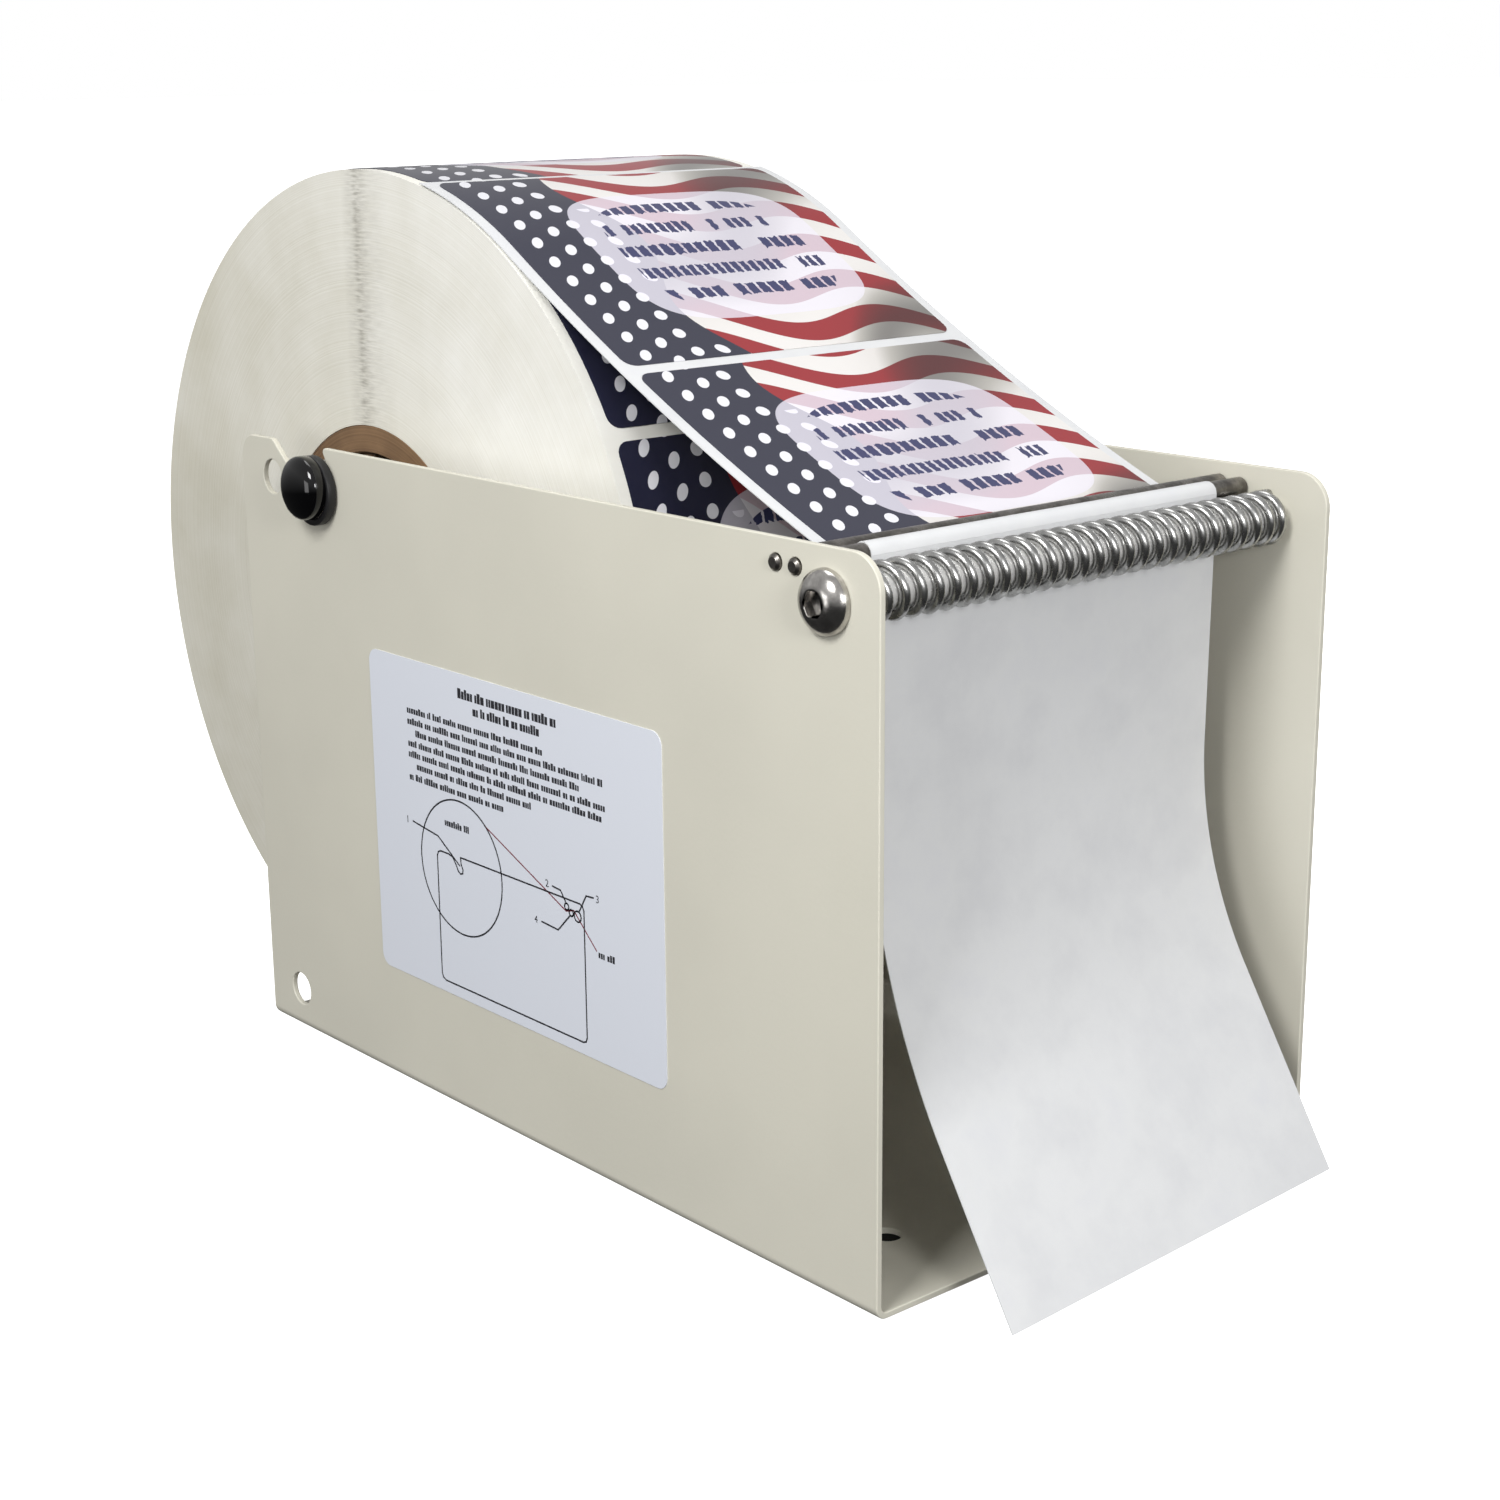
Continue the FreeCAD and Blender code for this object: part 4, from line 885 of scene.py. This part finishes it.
class BuildRoll(bpy.types.Operator):
    """Winds the roll on its cardboard core and lays the printed labels round it"""

    bl_idname = "dispenser.roll"
    bl_label = "Roll"

    def execute(self, context):
        sizes = context.scene.dispenser_roll
        axis = axis_of("label_roll")
        core, roll = size_of("cardboard_core"), size_of("label_roll")
        outer, inner, half = roll.y / 2, core.y / 2, roll.x / 2
        board, edge, uneven = 6.9 * MM, 0.35 * MM, 0.1 * MM
        bore = inner - board
        turn_rings([
            (-half + edge, bore), (-half, bore + edge), (-half, inner - edge), (-half + edge, inner),
            (half - edge, inner), (half, inner - edge), (half, bore + edge), (half - edge, bore)],
            axis, 96, tube=True)
        # the core's cut edge gets the same painted shade, darker towards the rear
        kraft = wound_edge("kraft_tube_board", axis, "#38261A", "#A98661", layer=0.7 * MM, Roughness=0.85)
        finish_piece("kraft_core", kraft, "roll", "kraft_board", "cardboard_core")
        # the layers' edges don't line up to a hair: bands of them stand back by up to a tenth
        draw = random.Random(5)
        rings, steps = [], 26
        for step in range(steps + 1):
            back = 0 if step in (0, steps) else draw.uniform(0, 1) * uneven
            rings.append((half - back, inner + (outer - inner) * step / steps))
        mirrored = [(-across, radius) for across, radius in rings[::-1]]
        turn_rings(rings + mirrored, axis, 256, tube=True)
        # the roll's cut edge gets painted shade: darker towards the rear, and a dark spoke straight up above the
        # core
        paper = wound_edge(
            "wound_paper_edge", axis, "#CECAB8", "#F6F5EF", layer=0.5 * MM, shade_spoke="#A09C91", Roughness=0.6)
        finish_piece("wound_roll", paper, "roll", "wound_paper", "label_roll")
        self.add_labels(context, sizes, axis)
        return {"FINISHED"}

    def add_labels(self, context, sizes, axis):
        """The labels round the roll, from where the web leaves it, as one piece."""
        radius = layer_radii(sizes)[0]
        centre = Vector((0, *axis))
        pitch, span = (sizes.label_length + sizes.label_gap) / radius, sizes.label_length / radius
        first = sizes.web_start - sizes.label_gap / 2 / radius
        labels = []
        for step in range(sizes.label_count):
            finish = first - step * pitch
            path = [(centre, radius, finish - span, finish)]
            labels.append(lay_label(path, 0, sizes.label_length, 0, 30, sizes))
        begin_piece()
        for label in labels:
            label.select_set(True)
        context.view_layer.objects.active = labels[0]
        bpy.ops.object.join()
        printed = bpy.data.materials.get("varnished_label_print") or printed_label(sizes)
        finish_piece("printed_roll_labels", printed, "roll", "label_paper", "roll_labels")


class BuildWeb(bpy.types.Operator):
    """Runs the web and its two labels from the roll under and over the rods, and hangs the empty liner's tail"""

    bl_idname = "dispenser.web"
    bl_label = "Web and tail"

    def execute(self, context):
        sizes = context.scene.dispenser_roll
        path = web_path(sizes)
        total = sum(length_of(piece) for piece in path)
        width = size_of("liner_web").x
        liner, printed = glassine_liner(), printed_label(sizes)
        drift = sizes.web_drift / total

        def place(across, along):
            point = point_on(path, along * total, 0)
            point.x = (across - 0.5) * width + sizes.web_drift * along
            return point, (across * width, along * total)

        lay_sheet(WEB_COLUMNS, WEB_ROWS, place, sizes.liner_thickness)
        web = finish_piece("paper_web", liner, None, "liner_paper", "liner_web")
        rise = layer_radii(sizes)[1]
        second_start = sizes.label_gap / 2
        front_start = second_start + sizes.label_length + sizes.label_gap
        lay_label(path, second_start, sizes.label_length, rise, 40, sizes, drift=drift)
        second = finish_piece("web_label_second", printed, None, "label_paper", "second_label")
        front_length = min(sizes.label_length, total - front_start)
        lay_label(path, front_start, front_length, rise, 60, sizes,
                  ends=(True, front_length == sizes.label_length), drift=drift)
        front = finish_piece("web_label_front", printed, None, "label_paper", "front_label")
        for piece in (web, second, front):
            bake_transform(piece)
        self.hang_tail(sizes, width, liner)
        return {"FINISHED"}

    def hang_tail(self, sizes, width, material):
        """The tail swings further out on its left edge, and ends just above the floor."""
        low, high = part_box("waste_liner")
        rear = high.y - sizes.liner_thickness / 2

        def place(across, along):
            bend, radius, lean, foot = (
                TAIL_LEFT[key] * (1 - across) + TAIL_RIGHT[key] * across for key in TAIL_LEFT)
            drop, swing = high.z - bend, radius * lean
            bend_end = bend - radius * math.sin(lean)
            run = (bend_end - foot) / math.cos(lean)
            distance = along * (drop + swing + run)
            aside = (across - 0.5) * width + sizes.web_drift * (1 - along)
            point = Vector((aside, rear, high.z - distance))
            if distance > drop:
                angle = min((distance - drop) / radius, lean)
                rest = distance - drop - radius * angle
                point.y = rear - radius * (1 - math.cos(angle)) - rest * math.sin(angle)
                point.z = bend - radius * math.sin(angle) - rest * math.cos(angle)
            return point, (across * width, distance)

        lay_sheet(TAIL_COLUMNS, TAIL_ROWS, place, sizes.liner_thickness)
        finish_piece("liner_tail", material, "housing", "liner_paper", "waste_liner")


class BuildRods(bpy.types.Operator):
    """Turns the two peel rods and the bar inside the spring"""

    bl_idname = "dispenser.rods"
    bl_label = "Rods"

    def execute(self, context):
        steel = drawn_steel("bright_drawn_rod", "#65625E", "#8F8B86", grain=4 * MM, roughness=0.33)
        play, neck, chamfer, edge = 0.3 * MM, 3.5 / 2 * MM, 0.6 * MM, 0.25 * MM
        inner = size_of("housing").x / 2 - SHEET - play
        for name, node, body in (
            ("rear_peel_rod", "top_peel_shaft", "peel_shaft"), ("front_peel_rod", "bottom_peel_bar", "housing"),
        ):
            bar, tip = size_of(node).z / 2, size_of(node).x / 2
            half = [(inner - edge, bar), (inner, bar - edge), (inner, neck), (tip - chamfer, neck),
                    (tip, neck - chamfer)]
            mirrored = [(-across, radius) for across, radius in half[::-1]]
            turn_rings(mirrored + half, axis_of(node), 40)
            finish_piece(name, steel, body, "rod_steel", node)
        size, chamfer = size_of("label_support_shaft"), 0.5 * MM
        half, bar = size.x / 2, size.z / 2
        turn_rings([(-half, bar - chamfer), (chamfer - half, bar), (half - chamfer, bar), (half, bar - chamfer)],
                   axis_of("label_support_shaft"), 48)
        chromed = drawn_steel(
            "satin_chromed_bar", "#F2F1EF", "#FAF9F7", grain=5 * MM, roughness=0.35, relief=0.01, bare=0.45)
        finish_piece("spring_bar", chromed, "housing", "shaft_steel", "label_support_shaft")
        return {"FINISHED"}


class BuildSpring(bpy.types.Operator):
    """Winds the long spring"""

    bl_idname = "dispenser.spring"
    bl_label = "Spring"

    def execute(self, context):
        metal = context.scene.dispenser_metal
        low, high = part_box("support_spring")
        wire = metal.wire_diameter / 2
        along, up = axis_of("label_support_shaft")
        radius = (high.z - low.z) / 2 - wire
        play, air = 0.1 * MM, 0.05 * MM
        length = high.x - low.x - 2 * wire - 2 * play
        start = low.x + wire + play
        begin_piece()
        bpy.ops.mesh.primitive_circle_add(vertices=WIRE_SIDES, radius=wire, location=(start, along, up))
        edit_all()
        bpy.ops.transform.rotate(value=math.pi / 2, orient_axis="X", center_override=(start, along, up))
        bpy.ops.transform.translate(value=(0, 0, radius))
        bpy.ops.object.mode_set(mode="OBJECT")
        add_modifier(
            "SCREW", axis="X", angle=2 * math.pi, steps=WIRE_STEPS, render_steps=WIRE_STEPS,
            iterations=metal.coil_turns, screw_offset=length / metal.coil_turns, use_normal_calculate=True)
        self.close_ends(context.active_object, metal.coil_turns, length, 2 * wire + air)
        edit_all()
        bpy.ops.mesh.select_mode(type="EDGE")
        bpy.ops.mesh.select_all(action="DESELECT")
        bpy.ops.mesh.select_non_manifold()
        bpy.ops.mesh.fill_holes(sides=0)
        close_shell()
        wound = drawn_steel(
            "zinc_plated_wire", "#9A9A99", "#C2C2C0", grain=3 * MM, roughness=0.27, relief=0.01)
        finish_piece("coil_spring", wound, "spring", "spring_wire", "support_spring", smooth_below=60)
        return {"FINISHED"}

    def close_ends(self, coil, turns, length, tight):
        """Draws the end turns together until they nearly touch, and opens the others evenly."""
        closed, opening = 0.8, 0.5  # turns that stay closed at each end, and turns over which they open
        steps = WIRE_STEPS * turns
        slack = [min(max((min(step, steps - step) / WIRE_STEPS - closed) / opening, 0), 1)
                 for step in range(steps)]
        spare = (length - tight * turns) / sum(slack)
        places = [0]
        for share in slack:
            places.append(places[-1] + tight / WIRE_STEPS + spare * share)
        for vertex in coil.data.vertices:
            step = vertex.index // WIRE_SIDES
            vertex.co.x += places[step] - length * step / steps


class BuildScrews(bpy.types.Operator):
    """Turns the two button-head screws and sinks their hexagon sockets"""

    bl_idname = "dispenser.screws"
    bl_label = "Screws"

    def execute(self, context):
        metal = context.scene.dispenser_metal
        stainless = drawn_steel("stainless_screw", "#A5A29F", "#C9C6C2", grain=3 * MM, roughness=0.2)
        plate = size_of("housing").x / 2
        # the head: a short straight rim, a dome that leans in by 62 degrees, and a flat of just under half its width
        shank, tip_chamfer, rim_edge, rim_height = 2.5 * MM, 0.5 * MM, 0.15 * MM, 0.6 * MM
        full_lean, steps, draw_in, flat, flat_inner = math.radians(62), 10, 0.52, 0.46, 0.44
        for side, way in SIDES:
            node = f"{side}_shaft_screw"
            low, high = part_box(node)
            axis, rim = axis_of(node), size_of(node).z / 2
            tip, top = (high.x, low.x) if way < 0 else (low.x, high.x)
            face, dome = way * plate, abs(top - way * plate) - rim_height
            rings = [(tip, shank - tip_chamfer), (tip + way * tip_chamfer, shank), (face, shank),
                     (face, rim - rim_edge), (face + way * rim_edge, rim), (face + way * rim_height, rim)]
            for step in range(1, steps):
                lean = full_lean * step / steps
                risen = math.sin(lean) / math.sin(full_lean)
                drawn = (1 - math.cos(lean)) / (1 - math.cos(full_lean))
                rings.append((face + way * (rim_height + dome * risen), rim * (1 - draw_in * drawn)))
            rings += [(top, rim * flat), (top, rim * flat_inner)]
            head = turn_rings(rings, axis, 72)
            begin_piece()
            corner = metal.socket_flats / 2 / math.cos(math.radians(30))
            bpy.ops.mesh.primitive_cylinder_add(
                vertices=6, radius=corner, depth=2 * metal.socket_depth, location=(top, *axis),
                rotation=(0, math.pi / 2, 0))
            cutter = context.active_object
            begin_piece()
            head.select_set(True)
            context.view_layer.objects.active = head
            add_modifier("BOOLEAN", operation="DIFFERENCE", object=cutter, solver="EXACT")
            add_modifier("BEVEL", width=0.12 * MM, segments=2, limit_method="ANGLE", angle_limit=math.radians(50))
            bpy.data.objects.remove(cutter)
            finish_piece(f"button_screw_{side}", stainless, "housing", "screw_steel", node, smooth_below=30)
        return {"FINISHED"}


class BuildStage(bpy.types.Operator):
    """Sets the pale floor, the soft light and the camera at the photograph's angle"""

    bl_idname = "dispenser.stage"
    bl_label = "Stage"

    def execute(self, context):
        floor_size, floor_drop = 40, 0.2 * MM
        begin_piece()
        bpy.ops.mesh.primitive_plane_add(size=floor_size, location=(0, 0, -floor_drop))
        floor = context.active_object
        floor.name = "pale_floor"
        floor.data.materials.append(self.floor_paint())
        # a white floor that throws no light up, so that the undersides stay as dark as in a dim room
        floor.visible_diffuse = floor.visible_glossy = False
        self.light_room(context)
        for name, place, target, size, power in SOFTBOXES:
            light = bpy.data.lights.new(name, "AREA")
            light.size, light.energy = size, power
            lamp = bpy.data.objects.new(name, light)
            context.scene.collection.objects.link(lamp)
            lamp.location = place
            lamp.rotation_euler = (Vector(target) - Vector(place)).to_track_quat("-Z", "Y").to_euler()
        context.scene.view_settings.view_transform = "Standard"
        lens = bpy.data.cameras.new("photo_camera")
        lens.lens, lens.sensor_width = CAMERA_LENS, CAMERA_SENSOR
        lens.shift_x, lens.shift_y = CAMERA_SHIFT
        camera = bpy.data.objects.new("photo_camera", lens)
        context.scene.collection.objects.link(camera)
        turned = Matrix((CAMERA_RIGHT, CAMERA_UP, CAMERA_BACK)).transposed().to_4x4()
        camera.matrix_world = Matrix.Translation(CAMERA_PLACE) @ turned
        context.scene.camera = camera
        return {"FINISHED"}

    def floor_paint(self):
        """White floor paint that glows from within, with a painted shadow under the machine, where no light comes.
        """
        material, tree, shader = start_material(
            "pale_floor_paint", Roughness=0.9, Emission_Color=linear("#FFFFFF"))
        place = add_node(tree, "ShaderNodeTexCoord").outputs["Object"]
        half, inset = size_of("housing") / 2, 4 * MM
        aside = add_node(tree, "ShaderNodeVectorMath", {0: place}, operation="ABSOLUTE")
        past = add_node(
            tree, "ShaderNodeVectorMath", {0: aside.outputs["Vector"], 1: (half.x - inset, half.y - inset, 0)},
            operation="SUBTRACT")
        parts = add_node(tree, "ShaderNodeSeparateXYZ", {0: past.outputs["Vector"]})
        further = add_node(
            tree, "ShaderNodeMath", {0: parts.outputs["X"], 1: parts.outputs["Y"]}, operation="MAXIMUM")
        # painted shadow: no glow and a black colour under the machine, white again just inside its edges
        glow_outside_painted_shadow = add_node(
            tree, "ShaderNodeMapRange",
            {"Value": further.outputs["Value"], "From Min": -2 * MM, "From Max": 1 * MM})
        tree.links.new(glow_outside_painted_shadow.outputs["Result"], shader.inputs["Emission Strength"])
        tree.links.new(glow_outside_painted_shadow.outputs["Result"], shader.inputs["Base Color"])
        return material

    def light_room(self, context):
        """A white backdrop, and soft light that comes mostly from above."""
        world = bpy.data.worlds.new("soft_room")
        context.scene.world = world
        world.use_nodes = True
        tree = world.node_tree
        way = add_node(tree, "ShaderNodeTexCoord").outputs["Generated"]
        rise = add_node(tree, "ShaderNodeSeparateXYZ", {0: way}).outputs["Z"]
        on_surfaces = add_node(
            tree, "ShaderNodeMapRange",
            {"Value": rise, "From Min": -0.3, "From Max": 0.2, "To Min": 0.12, "To Max": 0.4})
        in_metal = add_node(
            tree, "ShaderNodeMapRange",
            {"Value": rise, "From Min": -0.2, "From Max": 0.2, "To Min": 0.04, "To Max": 0.55})
        ray = add_node(tree, "ShaderNodeLightPath")
        light = add_node(
            tree, "ShaderNodeMix",
            {0: ray.outputs["Is Glossy Ray"], 2: on_surfaces.outputs["Result"], 3: in_metal.outputs["Result"]},
            data_type="FLOAT")
        strength = add_node(
            tree, "ShaderNodeMath", {0: light.outputs[0], 1: ray.outputs["Is Camera Ray"]}, operation="MAXIMUM")
        tree.links.new(strength.outputs["Value"], tree.nodes["Background"].inputs["Strength"])
        tree.nodes["Background"].inputs["Color"].default_value = linear("#FFFFFF")


class DispenserPanel(bpy.types.Panel):
    """Lists the dispenser's operators"""

    bl_idname = "VIEW3D_PT_dispenser"
    bl_label = "Label dispenser"
    bl_space_type = "VIEW_3D"
    bl_region_type = "UI"
    bl_category = "Dispenser"

    def draw(self, context):
        for operator in BUILDERS:
            self.layout.operator(operator.bl_idname)


GROUPS = (
    ("dispenser_housing", DispenserHousing), ("dispenser_roll", DispenserRoll), ("dispenser_metal", DispenserMetal),
)
BUILDERS = (
    BuildHousing, BuildSticker, BuildCoreShaft, BuildWeb, BuildRoll, BuildRods, BuildSpring, BuildScrews, BuildStage,
)


def register():
    """Registers the property groups, the operators and the panel."""
    for name, group in GROUPS:
        bpy.utils.register_class(group)
        setattr(bpy.types.Scene, name, PointerProperty(type=group))
    for kind in (*BUILDERS, DispenserPanel):
        bpy.utils.register_class(kind)


def unregister():
    """Takes them out again."""
    for kind in (DispenserPanel, *reversed(BUILDERS)):
        bpy.utils.unregister_class(kind)
    for name, group in reversed(GROUPS):
        delattr(bpy.types.Scene, name)
        bpy.utils.unregister_class(group)


def main():
    """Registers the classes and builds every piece."""
    register()
    bpy.ops.dispenser.housing()
    bpy.ops.dispenser.sticker()
    bpy.ops.dispenser.core_shaft()
    bpy.ops.dispenser.web()
    bpy.ops.dispenser.roll()
    bpy.ops.dispenser.rods()
    bpy.ops.dispenser.spring()
    bpy.ops.dispenser.screws()
    bpy.ops.dispenser.stage()


if __name__ == "__main__":
    main()
